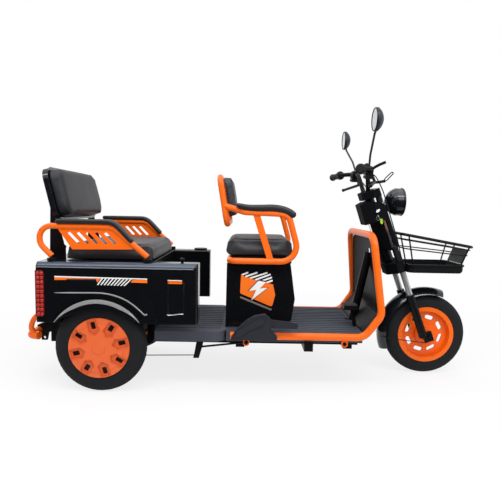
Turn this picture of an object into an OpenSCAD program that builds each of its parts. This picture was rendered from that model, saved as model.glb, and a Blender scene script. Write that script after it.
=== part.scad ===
// Electric passenger tricycle, millimetres. +X is forward, +Y left, +Z up.
// The origin is on the ground below the middle of the overall length.

/* [Overall] */
// Distance between the rear and front wheel centres
wheelbase = 1537; // [1300:1:1800]
// Bumper behind the rear wheel centre
rear_overhang = 360; // [280:1:450]

/* [Wheels] */
// Outer diameter of all three tyres
tyre_d = 400; // [340:1:460]
// Width of the front tyre
front_tyre_w = 75; // [60:1:90]
// Width of each rear tyre
rear_tyre_w = 80; // [60:1:95]
// Distance between the rear wheel centres
rear_track = 630; // [560:1:720]
// Diameter of the front rim at its flange
front_rim_d = 276; // [220:1:300]
// Diameter of each rear rim at its flange
rear_rim_d = 266; // [220:1:300]

/* [Rear box] */
// Width over the side walls
box_w = 730; // [650:1:820]
// Thickness of a whole side wall
wall_t = 86; // [60:1:100]
// Rear end of the box behind the rear axle
box_rear = 262; // [220:1:300]
// Front edge of the wheel panel ahead of the rear axle
box_seam = 252; // [230:1:300]
// Front edge of the leg panel ahead of the rear axle
box_front = 427; // [380:1:480]
// Lower edge of the box above the ground
box_bottom = 313; // [290:1:340]
// Upper edge of the box above the ground
box_top = 574; // [520:1:640]

/* [Floor and hoop] */
// Upper face of the floor above the ground
floor_top = 267; // [240:1:300]
// Half distance between the floor tubes
floor_tube_y = 290; // [250:1:330]
// Outer diameter of the floor and hoop tube
hoop_tube_d = 33; // [25:0.5:42]
// Top of the hoop's cross tube above the ground
hoop_top = 719; // [650:1:780]
// Half width of the hoop at its top corners
hoop_top_y = 250; // [200:1:290]

/* [Driver seat] */
// Rear face of the seat base ahead of the rear axle
seat_x = 540; // [500:1:580]
// Length of the seat base
seat_len = 310; // [260:1:360]
// Width of the seat base
seat_w = 410; // [340:1:460]
// Top of the seat base above the ground
seat_top = 563; // [500:1:620]
// Outer diameter of the seat and arm tubes
seat_tube_d = 28; // [19:0.5:32]

/* [Steering] */
// Lean of the steering axis from the vertical
rake = 20.14; // [15:0.01:28]
// Steering travel to each side
steer_travel = 40; // [30:1:45]
// Steering axis ahead of the rear axle at the lower yoke
steer_x = 1350; // [1300:1:1400]
// Height of the lower yoke on the steering axis
steer_z = 535; // [500:1:580]
// Fork tubes ahead of the steering axis
fork_offset = 35; // [25:1:50]
// Half distance between the fork tubes
fork_half = 75; // [65:1:100]

/* [Handlebar] */
// Half width over the grips
bar_half = 340; // [280:1:400]
// Height of the grip ends
bar_z = 993; // [920:1:1060]
// Diameter of the bar
bar_d = 22; // [19:0.1:26]
// Half distance between the mirror heads
mirror_half = 330; // [260:1:400]
// Height of the mirror centres
mirror_z = 1198; // [1100:1:1280]

/* [Basket] */
// Half width of the basket
basket_half = 135; // [110:1:180]
// Length of the basket tray
tray_len = 268; // [220:1:330]
// Length of the basket rim
rim_len = 344; // [290:1:400]
// Underside of the basket tray above the ground
tray_z = 522; // [480:1:560]

/* [Hidden] */
$fn = 48;
tube_sides = 16;
bend_step = 12;
length = rear_overhang + wheelbase + tyre_d / 2;
rear_axle_x = rear_overhang - length / 2;
tyre_r = tyre_d / 2;
wheel_z = tyre_r;
rear_y = rear_track / 2;
drawn_base = 1537;
ahead = wheelbase - drawn_base;
steer_at = steer_x + ahead;
front_rim_r = front_rim_d / 2;
rear_rim_r = rear_rim_d / 2;
axle_r = 7.5;
stub_r = 10;
run_gap = 0.05;
clear = 6;
box_y = box_w / 2;
inner_y = box_y - wall_t;
rail_round = 26;
rail_inner = 8;
skin_t = 5;
flare_t = 15;
flare_r = tyre_r + 20;
well_r = tyre_r + 25;
sheet_t = 12;
hoop_r = hoop_tube_d / 2;
seat_r = seat_tube_d / 2;
bar_r = bar_d / 2;
rail_w = 40;
rail_h = 36;
rail_y = 150;
floor_low = floor_top - 49;
low_rail_z = floor_low - rail_h - 2;
high_rail_z = box_bottom - rail_w - 5;
box_mid = (box_top + box_bottom) / 2;

orange = [1, 0.42, 0.05];
black = [0.04, 0.04, 0.05];
grey = [0.13, 0.13, 0.14];
leather = [0.16, 0.15, 0.15];
silver = [0.75, 0.76, 0.78];
red = [0.75, 0.05, 0.04];

// Vector helpers for tubes
function unit(v) = v / norm(v);
function bend_angle(a, b) = acos(max(-1, min(1, a * b)));
function mirrored(p) = [p[0], -p[1], p[2]];
function side_of(p) = [p[0], p[2]];
function reversed(list) = [for (i = [len(list) - 1:-1:0]) list[i]];

module rear_frame() {
    translate([rear_axle_x, 0, 0])
        children();
}

module both_sides() {
    children();
    mirror([0, 1, 0])
        children();
}

// A plain rod between two points
module rod(p, q, r) {
    d = q - p;
    translate(p)
        rotate([0, acos(d[2] / norm(d)), atan2(d[1], d[0])])
            cylinder(h = norm(d), r = r);
}

// The points of a tube's centre line, each with its direction, with round bends at the corners
function bend_steps(turn) = max(1, ceil(turn / bend_step));
function bend_line(v, d1, d2, bend_r) =
    let (turn = bend_angle(d1, d2),
        side = unit(d2 - (d2 * d1) * d1),
        start = v - d1 * bend_r * tan(turn / 2),
        centre = start + side * bend_r,
        n = bend_steps(turn))
    [for (i = [0:n]) let (t = turn * i / n)
        [centre + bend_r * (sin(t) * d1 - cos(t) * side), cos(t) * d1 + sin(t) * side]];
function bend_at(bend_r, i) = is_list(bend_r) ? bend_r[i] : bend_r;
function tube_line(points, bend_r) =
    let (last = len(points) - 1,
        dirs = [for (i = [0:last - 1]) unit(points[i + 1] - points[i])])
    concat([[points[0], dirs[0]]],
        [for (i = [1:1:last - 1]) each bend_line(points[i], dirs[i - 1], dirs[i], bend_at(bend_r, i))],
        [[points[last], dirs[last - 1]]]);
function closed_line(points, bend_r) =
    let (n = len(points),
        dirs = [for (i = [0:n - 1]) unit(points[(i + 1) % n] - points[i])])
    [for (i = [0:n - 1]) each bend_line(points[i], dirs[(i + n - 1) % n], dirs[i], bend_r)];
function any_normal(d) = unit(cross(d, abs(d[1]) < 0.8 ? [0, 1, 0] : [1, 0, 0]));
function normals(line, i, n) =
    i == len(line) ? [] : let (m = unit(n - (n * line[i][1]) * line[i][1])) concat([m], normals(line, i + 1, m));
function ring_points(line, r, sides) =
    let (ns = normals(line, 0, any_normal(line[0][1])))
    [for (i = [0:len(line) - 1], k = [0:sides - 1])
        line[i][0] + r * (cos(360 * k / sides) * ns[i] + sin(360 * k / sides) * cross(line[i][1], ns[i]))];
function ring_quads(i, j, sides) =
    [for (k = [0:sides - 1]) [i * sides + k, j * sides + k, j * sides + (k + 1) % sides, i * sides + (k + 1) % sides]];

// A round tube along a line of points with round bends
module bent_tube(points, r, bend_r, sides = tube_sides) {
    line = tube_line(points, bend_r);
    n = len(line);
    polyhedron(ring_points(line, r, sides),
        concat([[for (k = [0:sides - 1]) k]],
            [for (i = [0:n - 2]) each ring_quads(i, i + 1, sides)],
            [[for (k = [sides - 1:-1:0]) (n - 1) * sides + k]]));
}

// The same for a flat loop that closes on itself
module tube_loop(points, r, bend_r, sides = tube_sides) {
    line = closed_line(points, bend_r);
    n = len(line);
    polyhedron(ring_points(line, r, sides), [for (i = [0:n - 1]) each ring_quads(i, (i + 1) % n, sides)]);
}

// A side view outline of x and z, given thickness along y from y0
module side_plate(y0, t) {
    translate([0, y0 + t, 0])
        rotate([90, 0, 0])
            linear_extrude(t)
                children();
}

// A band beside a line of side view points, between two distances to its left
function left_of(p, q) = let (d = unit(q - p)) [-d[1], d[0]];
function beside(points, i, d) =
    let (last = len(points) - 1,
        n1 = left_of(points[max(i - 1, 0)], points[max(i - 1, 0) + 1]),
        n2 = left_of(points[min(i, last - 1)], points[min(i, last - 1) + 1]))
    points[i] + d * (n1 + n2) / (1 + n1 * n2);
module band(points, d0, d1) {
    last = len(points) - 1;
    polygon(concat([for (i = [0:last]) beside(points, i, d0)], [for (i = [last:-1:0]) beside(points, i, d1)]));
}

function bend_corner(a, b, c, r) =
    let (turn = bend_angle(unit(b - a), unit(c - b)), back = r * (tan(turn / 2) - tan(turn / 4)))
    [b - back * unit(b - a), b + back * unit(c - b)];

module round_rect(size, r) {
    translate([r, 0])
        square([size[0] - 2 * r, size[1]]);
    translate([0, r])
        square([size[0], size[1] - 2 * r]);
    for (x = [r, size[0] - r], y = [r, size[1] - r])
        translate([x, y])
            circle(r = r);
}

module round_box(low, size, r) {
    translate(low)
        linear_extrude(size[2])
            round_rect([size[0], size[1]], r);
}

// Floor rails and hoop
hoop_foot = [566, floor_tube_y, floor_top - 2 - hoop_r];
hoop_heel = [ahead + 1165, floor_tube_y, floor_top - 2 - hoop_r];
hoop_knee = [ahead + 1238, floor_tube_y + 8, 352];
hoop_corner = [ahead + 1200, hoop_top_y, hoop_top - hoop_r];
hoop_bend = 62;

lug_x = [638, ahead + 1078];
lug_r = 14;
lug_t = 10;
lug_drop = 32;
module hoop_frame() {
    left = [hoop_foot, hoop_heel, hoop_knee, hoop_corner];
    color(orange)
        rear_frame() {
            bent_tube(concat(left, [for (p = reversed(left)) mirrored(p)]), hoop_r, hoop_bend);
            for (x = lug_x)
                side_plate(-floor_tube_y - lug_t / 2, lug_t)
                    translate([x, hoop_foot[2] - lug_drop]) {
                        circle(r = lug_r);
                        translate([-lug_r, 0])
                            square([2 * lug_r, lug_drop - hoop_r / 2]);
                    }
        }
}

// Rails under the box and the floor
post_x = 172;
rail_front = ahead + 1165;
hanger_t = 26;
hanger_w = 34;
hanger_drop = 9;
spring_y = 215;
spring_rear_x = -244;
spring_front_x = 198;
spring_eye_z = 200;
tail_x = -300;
tail_cross_x = -256;
cross_x = [590, 898, ahead + 1084];
cross_half = [235, floor_tube_y, 235];

module chassis() {
    color(black)
        rear_frame() {
            both_sides() {
                translate([tail_x, rail_y - rail_w / 2, high_rail_z])
                    cube([post_x - tail_x + rail_w, rail_w, rail_w]);
                translate([post_x, rail_y - rail_w / 2, low_rail_z])
                    cube([rail_w, rail_w, high_rail_z - low_rail_z]);
                translate([post_x, rail_y - rail_w / 2, low_rail_z])
                    cube([rail_front - post_x, rail_w, rail_h]);
                for (x = [spring_rear_x, spring_front_x])
                    translate([x - hanger_t / 2, spring_y - hanger_w / 2, spring_eye_z - hanger_drop])
                        cube([hanger_t, hanger_w, high_rail_z + rail_w - spring_eye_z + hanger_drop]);
                for (x = [spring_rear_x, spring_front_x])
                    translate([x - hanger_t / 2, rail_y, high_rail_z])
                        cube([hanger_t, spring_y - rail_y, rail_w]);
            }
            for (i = [0:2])
                translate([cross_x[i], -cross_half[i], low_rail_z])
                    cube([rail_w, 2 * cross_half[i], rail_h + (i == 1 ? 2 : 0)]);
            translate([tail_cross_x, -rail_y, high_rail_z])
                cube([rail_w, 2 * rail_y, rail_w]);
        }
}

// Head tube and down tube
down_foot = [ahead + 1160, 0, low_rail_z + 10];
down_top = [ahead + 1244, 0, 606];
down_r = 20;
head_r = 27;
head_low = 31;
head_high = 352;
neck = [38, 78];
neck_len = 104;
neck_w = 34;
steerer_r = 13;
bearing_h = 24;
head_bore_r = steerer_r + clear;

module steer_frame() {
    translate([rear_axle_x + steer_at, 0, steer_z])
        rotate([0, -rake, 0])
            children();
}

module head_tube() {
    color(black)
        difference() {
            union() {
                steer_frame() {
                    translate([0, 0, head_low])
                        cylinder(h = head_high - head_low, r = head_r);
                    translate([-neck_len, -neck_w / 2, neck[0]])
                        cube([neck_len, neck_w, neck[1] - neck[0]]);
                }
                rear_frame() {
                    rod(down_foot, down_top, down_r);
                    translate([down_foot[0] - rail_w + 10, -rail_y + rail_w / 2, low_rail_z])
                        cube([rail_w, 2 * rail_y - rail_w, rail_h]);
                }
            }
            steer_frame() {
                translate([0, 0, head_low - clear])
                    cylinder(h = head_high - head_low + 2 * clear, r = steerer_r + run_gap);
                translate([0, 0, head_low + bearing_h])
                    cylinder(h = head_high - head_low - 2 * bearing_h, r = head_bore_r);
            }
        }
}

// Leg shield
shield_t = 6;
shield_gap = 0.9;
shield_sag = 40;
shield_half = floor_tube_y + 8;
shield_r = (shield_half * shield_half + shield_sag * shield_sag) / (2 * shield_sag);
shield_lean = atan2(hoop_knee[0] - hoop_corner[0], hoop_corner[2] - hoop_knee[2]);

module shield_arc() {
    intersection() {
        difference() {
            translate([shield_sag - shield_r, 0])
                circle(r = shield_r, $fn = 128);
            translate([shield_sag - shield_r, 0])
                circle(r = shield_r - shield_t, $fn = 128);
        }
        translate([-shield_t, -shield_half])
            square([2 * shield_sag, 2 * shield_half]);
    }
}

module shield_front() {
    rotate([90, 0, 90])
        linear_extrude(2 * wheelbase)
            polygon([for (q = tube_line([hoop_knee, hoop_corner, mirrored(hoop_corner), mirrored(hoop_knee)], hoop_bend))
                [q[0][1], q[0][2]] + (hoop_r + shield_gap) * unit([-q[1][2], q[1][1]])]);
}

toe_half = floor_tube_y - hoop_r - 1;
module leg_shield() {
    color(black)
        difference() {
            rear_frame()
                union() {
                    intersection() {
                        translate([hoop_knee[0], 0, hoop_knee[2]])
                            rotate([0, -shield_lean, 0]) {
                                linear_extrude(hoop_corner[2] - hoop_knee[2])
                                    shield_arc();
                                linear_extrude(2 * shield_t)
                                    intersection() {
                                        translate([shield_sag - shield_r, 0])
                                            circle(r = shield_r - shield_t / 2, $fn = 128);
                                        translate([-shield_t, -shield_half])
                                            square([2 * shield_sag, 2 * shield_half]);
                                    }
                            }
                        shield_front();
                    }
                    side_plate(-toe_half, 2 * toe_half)
                        band([[floor_end, floor_top - 20], [floor_end + 6, floor_top], [hoop_knee[0] + 4, hoop_knee[2] + shield_t]],
                            -shield_t, 0);
                }
            rear_frame()
                rod(down_foot, down_top + down_r * unit(down_top - down_foot), down_r + 1);
            steer_frame()
                translate([-2 * neck_len, -neck_w / 2 - shield_gap, neck[0] - shield_gap])
                    cube([2 * neck_len, neck_w + 2 * shield_gap, neck[1] - neck[0] + 2 * shield_gap]);
        }
}

// Floors
floor_rear = 546;
floor_end = ahead + 1164;
floor_half = floor_tube_y - hoop_r;
rib_w = 9;
rib_h = 3;
rib_count = 15;
module floor_ribs(x0, x1, half, count) {
    for (i = [0:count - 1])
        translate([x0, -half + (i + 0.5) * 2 * half / count - rib_w / 2, floor_top - rib_h])
            cube([x1 - x0, rib_w, rib_h]);
}

module front_floor() {
    color(grey)
        rear_frame()
            difference() {
                union() {
                    round_box([floor_rear, -floor_half, floor_low], [floor_end - floor_rear, 2 * floor_half,
                        floor_top - rib_h - floor_low], 8);
                    floor_ribs(floor_rear + 8, floor_end - 8, floor_half - 8, rib_count);
                }
                translate([down_foot[0] - down_r - 4, -down_r - 6, 0])
                    cube([wheelbase, 2 * down_r + 12, box_top]);
            }
}

step_x0 = 228;
step_round = 60;
module step_outline(grow) {
    translate([step_x0, -floor_tube_y - grow])
        square([step_round, 2 * (floor_tube_y + grow)]);
    translate([step_x0, -floor_tube_y - grow])
        round_rect([floor_rear - step_x0 + grow, 2 * (floor_tube_y + grow)], step_round);
}

module rear_floor() {
    color(grey)
        rear_frame() {
            translate([0, 0, floor_low])
                linear_extrude(floor_top - rib_h - floor_low)
                    step_outline(0);
            floor_ribs(step_x0 + 4, floor_rear - 24, floor_tube_y - 48, 12);
        }
}

// Driver seat base, battery and frame
seat_half = seat_w / 2;
base_share = [[0.01, 1], [0.955, 1], [1.03, 0.45], [0.985, 0.13], [0.9, 0], [0, 0]];
base_t = 6;

module base_outline(inset) {
    polygon([for (p = base_share)
        [seat_x + seat_len * p[0] + inset * (p[0] < 0.5 ? 1 : -1),
         floor_top + (seat_top - floor_top) * p[1] + (p[1] < 0.1 ? inset : 0)]]);
}

lid_in = 34;
hinge_x = seat_x + seat_len - 14;
hinge_z = seat_top + 15;
pin_r = 5;
pin_half = 130;
lug_w = 20;
lug_y = 12;
module hinge_lugs() {
    both_sides()
        side_plate(pin_half - lug_y, lug_y)
            polygon([[hinge_x - lug_w / 2, seat_top - base_t], [hinge_x + lug_w / 2, seat_top - base_t],
                [hinge_x + lug_w / 2, hinge_z + lug_w / 2], [hinge_x - lug_w / 2, hinge_z + lug_w / 2]]);
    rod([hinge_x, -pin_half + 1, hinge_z], [hinge_x, pin_half - 1, hinge_z], pin_r);
}

module seat_base() {
    color(black)
        rear_frame() {
            difference() {
                side_plate(-seat_half, seat_w)
                    base_outline(0);
                side_plate(-seat_half + base_t, seat_w - 2 * base_t)
                    base_outline(base_t);
                translate([seat_x + lid_in, -seat_half + lid_in, seat_top - 2 * base_t])
                    cube([seat_len - 2 * lid_in, seat_w - 2 * lid_in, 4 * base_t]);
            }
            hinge_lugs();
        }
}

module battery() {
    color(grey)
        rear_frame()
            round_box([seat_x + 22, -140, floor_top + base_t], [seat_len - 70, 280, 190], 10);
}

seat_gap = 0.2;
ring_z = seat_top + seat_r + seat_gap;
ring_half = 232;
ring_rear = 556;
ring_front = [880, ring_half, ring_z];
arm_front = [818, ring_half, 792];
arm_back = [622, ring_half, 798];
loop_half = 190;
loop_low = [541, loop_half, 741];
loop_top = [505, loop_half, 955];
loop_join = [528, loop_half, 824];
strut_w = 30;
strut_t = 6;
strut_top_x = 659;
strut_low_x = 728;

module seat_frame() {
    color(orange)
        rear_frame() {
            bent_tube([for (p = [loop_join, arm_back, arm_front, ring_front, [ring_rear, ring_half, ring_z],
                [ring_rear, -ring_half, ring_z], mirrored(ring_front), mirrored(arm_front), mirrored(arm_back),
                mirrored(loop_join)]) p], seat_r, [0, 50, 46, 70, 34, 34, 70, 46, 50, 0]);
            both_sides()
                side_plate(ring_half - strut_t / 2, strut_t)
                    polygon([[strut_low_x, ring_z], [strut_low_x + strut_w, ring_z], [strut_top_x + strut_w, arm_front[2]],
                        [strut_top_x, arm_front[2]]]);
            tube_loop([loop_low, loop_top, mirrored(loop_top), mirrored(loop_low)], seat_r, 40);
        }
}

back_lean = atan2(loop_low[0] - loop_top[0], loop_top[2] - loop_low[2]);
back_pad_t = 34;
back_pad_w = 356;
back_pad_low = 26;
back_pad_h = 190;
module driver_back_pad() {
    color(leather)
        rear_frame()
            translate([loop_low[0], -back_pad_w / 2, loop_low[2]])
                rotate([0, -back_lean, 0])
                    translate([seat_r + seat_gap, 0, back_pad_low])
                        rotate([90, 0, 90])
                            linear_extrude(back_pad_t)
                                round_rect([back_pad_w, back_pad_h], 34);
}

// Passenger arm line, rear foot to front foot
arm_in = 35;
arm_y = box_y - arm_in;
arm_r = 12.5;
arm_bend = [0, 58, 52, 56, 0];
arm_path = [[-206, arm_y, box_top], [-276, arm_y, 666], [-232, arm_y, 726], [56, arm_y, 726],
    [206, arm_y, box_top]];
foot_h = 14;
foot_lift = [8.4, 9.9];
arm_line = concat([arm_path[0] + [0, 0, foot_h + foot_lift[0]]], [for (i = [1:3]) arm_path[i]],
    [arm_path[4] + [0, 0, foot_h + foot_lift[1]]]);
pad_w = 40;
pad_t = 17;
pad_ends = [-178, 143];
pad_corner = bend_corner(side_of(arm_path[2]), side_of(arm_path[3]), side_of(arm_line[4]), arm_bend[3]);
pad_drop = (pad_ends[1] - arm_line[3][0]) / (arm_line[4][0] - arm_line[3][0]);
passenger_pad_line = [side_of(arm_line[3] + pad_drop * (arm_line[4] - arm_line[3])), pad_corner[1], pad_corner[0],
    [pad_ends[0], arm_path[3][2]]];
driver_pad_line = [[846, 781], [835, 793], [818, 805], [797, 813.5], [770, 818.5], [738, 821], [706, 819.5], [672, 819],
    [640, 820], [612, 826], [588, 834]];
driver_pad_t = 13;
module arm_pads() {
    color(grey)
        rear_frame()
            both_sides() {
                side_plate(ring_half - pad_w / 2, pad_w)
                    band([for (q = reversed(driver_pad_line)) q], -driver_pad_t / 2, driver_pad_t);
                side_plate(arm_y - pad_w / 2, pad_w)
                    band([for (q = reversed(passenger_pad_line)) q], arm_r + 0.4, arm_r + pad_t);
            }
}

// Side walls of the rear box
flare_low = 322;
arch_r = 306;
arch_z = 372 - arch_r;

module wall_section(x0, x1) {
    h = box_top - box_bottom;
    translate([x0, inner_y, box_bottom])
        rotate([90, 0, 90])
            linear_extrude(x1 - x0)
                union() {
                    square([wall_t, h - rail_round]);
                    square([wall_t - rail_round, h - rail_inner]);
                    translate([rail_inner, 0])
                        square([wall_t - rail_round - rail_inner, h]);
                    translate([rail_inner, h - rail_inner])
                        circle(r = rail_inner);
                    translate([wall_t - rail_round, h - rail_round])
                        circle(r = rail_round);
                }
}

module arch_hole(y0, t) {
    side_plate(y0, t)
        intersection() {
            translate([0, arch_z])
                circle(r = arch_r, $fn = 128);
            translate([-flare_r, 0])
                square([2 * flare_r, tyre_d * 2]);
        }
}

lamp_low = 338;
lamp_high = 538;
lamp_x = 228;
lamp_in = 46;

lamp_round = 14;
lamp_proud = 3;
module lamp_block(proud) {
    intersection() {
        translate([-box_rear - proud, box_y - lamp_in, lamp_low])
            cube([box_rear, lamp_in + proud, lamp_high - lamp_low]);
        side_plate(0, box_w)
            translate([-2 * box_rear + lamp_x, lamp_low])
                round_rect([2 * box_rear - 2 * lamp_x, lamp_high - lamp_low], lamp_round);
    }
}

tyre_gap = 5;
well_depth = max(wall_t - skin_t, rear_y + rear_tyre_w / 2 + tyre_gap - inner_y);
module quarter_panels() {
    color(black)
        rear_frame()
            both_sides()
                difference() {
                    union() {
                        wall_section(-box_rear, box_seam);
                        side_plate(box_y, flare_t)
                            difference() {
                                intersection() {
                                    translate([0, wheel_z - 7])
                                        circle(r = flare_r, $fn = 128);
                                    translate([-flare_r, flare_low])
                                        square([2 * flare_r, flare_r]);
                                }
                                translate([0, arch_z])
                                    circle(r = arch_r, $fn = 128);
                            }
                    }
                    translate([0, inner_y - 1, wheel_z])
                        rotate([-90, 0, 0])
                            cylinder(h = well_depth + 1, r = well_r, $fn = 96);
                    arch_hole(box_y - skin_t - 1, skin_t + 2);
                    lamp_block(0);
                }
}

module leg_panels() {
    color(black)
        rear_frame()
            both_sides()
                difference() {
                    wall_section(box_seam, box_front);
                    translate([box_front - 20, box_y - 20, 0])
                        difference() {
                            cube([40, 40, 2 * box_top]);
                            cylinder(h = 2 * box_top, r = 20);
                        }
                }
}

module tail_lamps() {
    color(red)
        rear_frame()
            both_sides()
                lamp_block(lamp_proud);
}

module rear_panel() {
    color(black)
        rear_frame()
            translate([-box_rear, -inner_y, box_bottom])
                cube([sheet_t, 2 * inner_y, box_top - box_bottom]);
}

wheel_clear = 8;
tub_gap = 12;
tub_y = min(rear_y - rear_tyre_w / 2 - wheel_clear, inner_y - tub_gap);
module seat_box() {
    color(black)
        rear_frame()
            difference() {
                union() {
                    translate([-box_rear + sheet_t, -inner_y, box_top - sheet_t])
                        cube([box_rear - sheet_t + step_x0, 2 * inner_y, sheet_t]);
                    translate([-box_rear + sheet_t, -tub_y, box_bottom])
                        cube([box_rear - sheet_t + step_x0, 2 * tub_y, box_top - box_bottom]);
                    translate([step_x0 - sheet_t, -inner_y, floor_low])
                        cube([sheet_t, 2 * inner_y, box_top - floor_low]);
                }
                translate([-box_rear + 2 * sheet_t, -tub_y + sheet_t, box_bottom - 1])
                    cube([box_rear - 3 * sheet_t + step_x0 - sheet_t, 2 * (tub_y - sheet_t),
                        box_top - box_bottom - sheet_t + 1]);
            }
}

module box_pan() {
    color(black)
        rear_frame()
            translate([-box_rear + 2 * sheet_t, -tub_y + sheet_t, box_bottom - 5])
                cube([box_rear - 3 * sheet_t + step_x0 - sheet_t, 2 * (tub_y - sheet_t), 6]);
}

// Passenger seat
arm_plate_t = 6;
slot_count = 5;
slot_step = 39;

module arm_slots() {
    for (i = [0:slot_count - 1])
        translate([i * slot_step, -6])
            polygon([[-138, 702], [-126, 708], [-82, 662], [-94, 656]]);
}

module passenger_arms() {
    color(orange)
        rear_frame()
            both_sides() {
                bent_tube(arm_line, arm_r, arm_bend);
                side_plate(arm_y - arm_plate_t / 2, arm_plate_t)
                    difference() {
                        polygon([[-186, arm_path[2][2]], [-117, 626], [146, 630], [70, arm_path[3][2] - 12], [40, arm_path[3][2]]]);
                        arm_slots();
                    }
            }
}

foot_r = 20;
cap_x = 370;
cap_r = 36;
cap_h = 9;
knob_x = 355;
knob_r = 10;
knob_h = 14;
module rail_feet() {
    color(black)
        rear_frame() {
            both_sides()
                for (q = [arm_path[0], arm_path[4]])
                    translate(q)
                        cylinder(h = foot_h, r = foot_r);
            translate([cap_x, box_y - wall_t / 2, box_top])
                cylinder(h = cap_h, r = cap_r);
            translate([knob_x, wall_t / 2 - box_y, box_top]) {
                cylinder(h = knob_h, r = knob_r * 0.6);
                translate([0, 0, knob_h])
                    sphere(r = knob_r);
            }
        }
}

cushion_x = -176;
bench_len = 399;
bench_gap = 9;
bench_half = inner_y - bench_gap;
bench_h = 70;
bench_round = 24;
module passenger_cushion() {
    color(leather)
        rear_frame()
            intersection() {
                round_box([cushion_x, -bench_half, box_top], [bench_len, 2 * bench_half, bench_h], bench_round);
                side_plate(-bench_half, 2 * bench_half)
                    translate([cushion_x, box_top - bench_round])
                        round_rect([bench_len, bench_h + bench_round], bench_round);
            }
}

back_tilt = 13.4;
back_foot = [-222, 743];
back_gap = 13;
back_half = inner_y - back_gap;
back_h = 242;
shell_t = 24;
back_t = 42;
shell_round = 58;
pad_in = 9;
module back_plane() {
    translate([back_foot[0], 0, back_foot[1]])
        rotate([0, -back_tilt, 0])
            rotate([90, 0, 90])
                children();
}

module back_shell() {
    color(black)
        rear_frame()
            back_plane()
                linear_extrude(shell_t)
                    translate([-back_half, 0])
                        round_rect([2 * back_half, back_h], shell_round);
}

module back_pad() {
    color(leather)
        rear_frame()
            back_plane()
                translate([0, 0, shell_t])
                    linear_extrude(back_t)
                        translate([pad_in - back_half, pad_in])
                            round_rect([2 * (back_half - pad_in), back_h - 2 * pad_in], shell_round - pad_in);
}

bracket_gap = 31;
bracket_y = inner_y - bracket_gap;
module back_brackets() {
    color(black)
        difference() {
            rear_frame()
                both_sides()
                    side_plate(bracket_y, 8)
                        polygon([[-246, box_top], [-140, box_top], [-150, 612], [-182, 640], [-222, 800],
                            [-240, 800]]);
            back_shell();
            back_pad();
            passenger_cushion();
        }
}

// Rear bumper
bumper_r = 18.5;
bumper_x = -rear_overhang + bumper_r;
bumper_z = 226;
bumper_in = 29;
bumper_half = inner_y - bumper_in;
upright_y = 100;
upright_r = 16;
lug_z = 186;
lug_hole_r = 6.5;
module rear_bumper() {
    color(orange)
        rear_frame() {
            bent_tube([[bumper_x + 44, -bumper_half - 14, bumper_z], [bumper_x, -bumper_half, bumper_z],
                [bumper_x, bumper_half, bumper_z], [bumper_x + 44, bumper_half + 14, bumper_z]], bumper_r, 26);
            both_sides()
                bent_tube([[bumper_x, upright_y, bumper_z], [bumper_x + 8, upright_y, 262],
                    [-box_rear - upright_r - seat_gap, upright_y, 330],
                    [-box_rear - upright_r - seat_gap, upright_y, 420]], upright_r, 20);
        }
}

bracket_w = 40;
lug_wide = 10;
bracket_line = [[-347, 250], [-300, high_rail_z], [-244, high_rail_z], [-244, 236], [-300, 212], [-347, 206]];
lug_line = [[-338, 210], [-300, 214], [-308, 174], [-334, 174]];
lug_hole = [-321, lug_z];
module bumper_bracket() {
    color(black)
        difference() {
            rear_frame()
                both_sides() {
                    side_plate(rail_y - bracket_w / 2, bracket_w)
                        polygon(bracket_line);
                    side_plate(rail_y - lug_wide / 2, lug_wide)
                        difference() {
                            polygon(lug_line);
                            translate(lug_hole)
                                circle(r = lug_hole_r);
                        }
                }
            rear_frame()
                rod([bumper_x, -bumper_half, bumper_z], [bumper_x, bumper_half, bumper_z], bumper_r + seat_gap);
        }
}

// Rear axle and springs
axle_tube_r = 25;
motor_r = 72;
drum_r = 106;
hub_gap = 13;
hub_in = rear_y - rear_tyre_w / 2 - hub_gap;
module rear_axle() {
    color(black)
        rear_frame()
            translate([0, 0, wheel_z])
                rotate([90, 0, 0]) {
                    translate([0, 0, -hub_in])
                        cylinder(h = 2 * hub_in, r = axle_tube_r);
                    translate([0, 0, -85])
                        cylinder(h = 170, r = motor_r);
                    for (side = [-1, 1])
                        translate([0, 0, side * (hub_in - 12) - 12])
                            cylinder(h = 24, r = drum_r);
                    translate([0, 0, -rear_y - 38])
                        cylinder(h = 2 * rear_y + 76, r = stub_r);
                }
}

leaf_t = 7;
leaf_w = 32;
leaf_top = wheel_z - axle_tube_r - 1;
leaf_sag = 36;
leaf_mid = (spring_rear_x + spring_front_x) / 2;
leaf_half = (spring_front_x - spring_rear_x) / 2 - hanger_t / 2;
leaf_r = (leaf_half * leaf_half + leaf_sag * leaf_sag) / (2 * leaf_sag);
leaf_shares = [1, 0.72, 0.44];

module leaf_springs() {
    color(grey)
        rear_frame()
            both_sides()
                side_plate(spring_y - leaf_w / 2, leaf_w)
                    for (i = [0:2])
                        intersection() {
                            difference() {
                                translate([leaf_mid, leaf_top + leaf_r - leaf_t])
                                    circle(r = leaf_r + i * leaf_t, $fn = 256);
                                translate([leaf_mid, leaf_top + leaf_r - leaf_t])
                                    circle(r = leaf_r + (i - 1) * leaf_t, $fn = 256);
                            }
                            translate([leaf_mid - leaf_half * leaf_shares[i], 0])
                                square([2 * leaf_half * leaf_shares[i], leaf_top + leaf_sag]);
                        }
}

// Handbrake and brake gear
brake_y = -floor_tube_y - hoop_r - seat_gap;
brake_t = 30;
lever_t = 14;
cover_line = [[574, 240], [574, 252], [600, 290], [640, 328], [671, 346], [716, 355], [738, 340], [750, 315], [745, 285],
    [773, 256], [773, 240]];
lever_line = [[730, 332], [858, 318], [866, 304], [858, 291], [742, 294]];
module handbrake() {
    color(grey)
        rear_frame() {
            side_plate(brake_y - brake_t, brake_t)
                polygon(cover_line);
            side_plate(brake_y - brake_t / 2 - lever_t / 2, lever_t)
                polygon(lever_line);
        }
}

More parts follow.
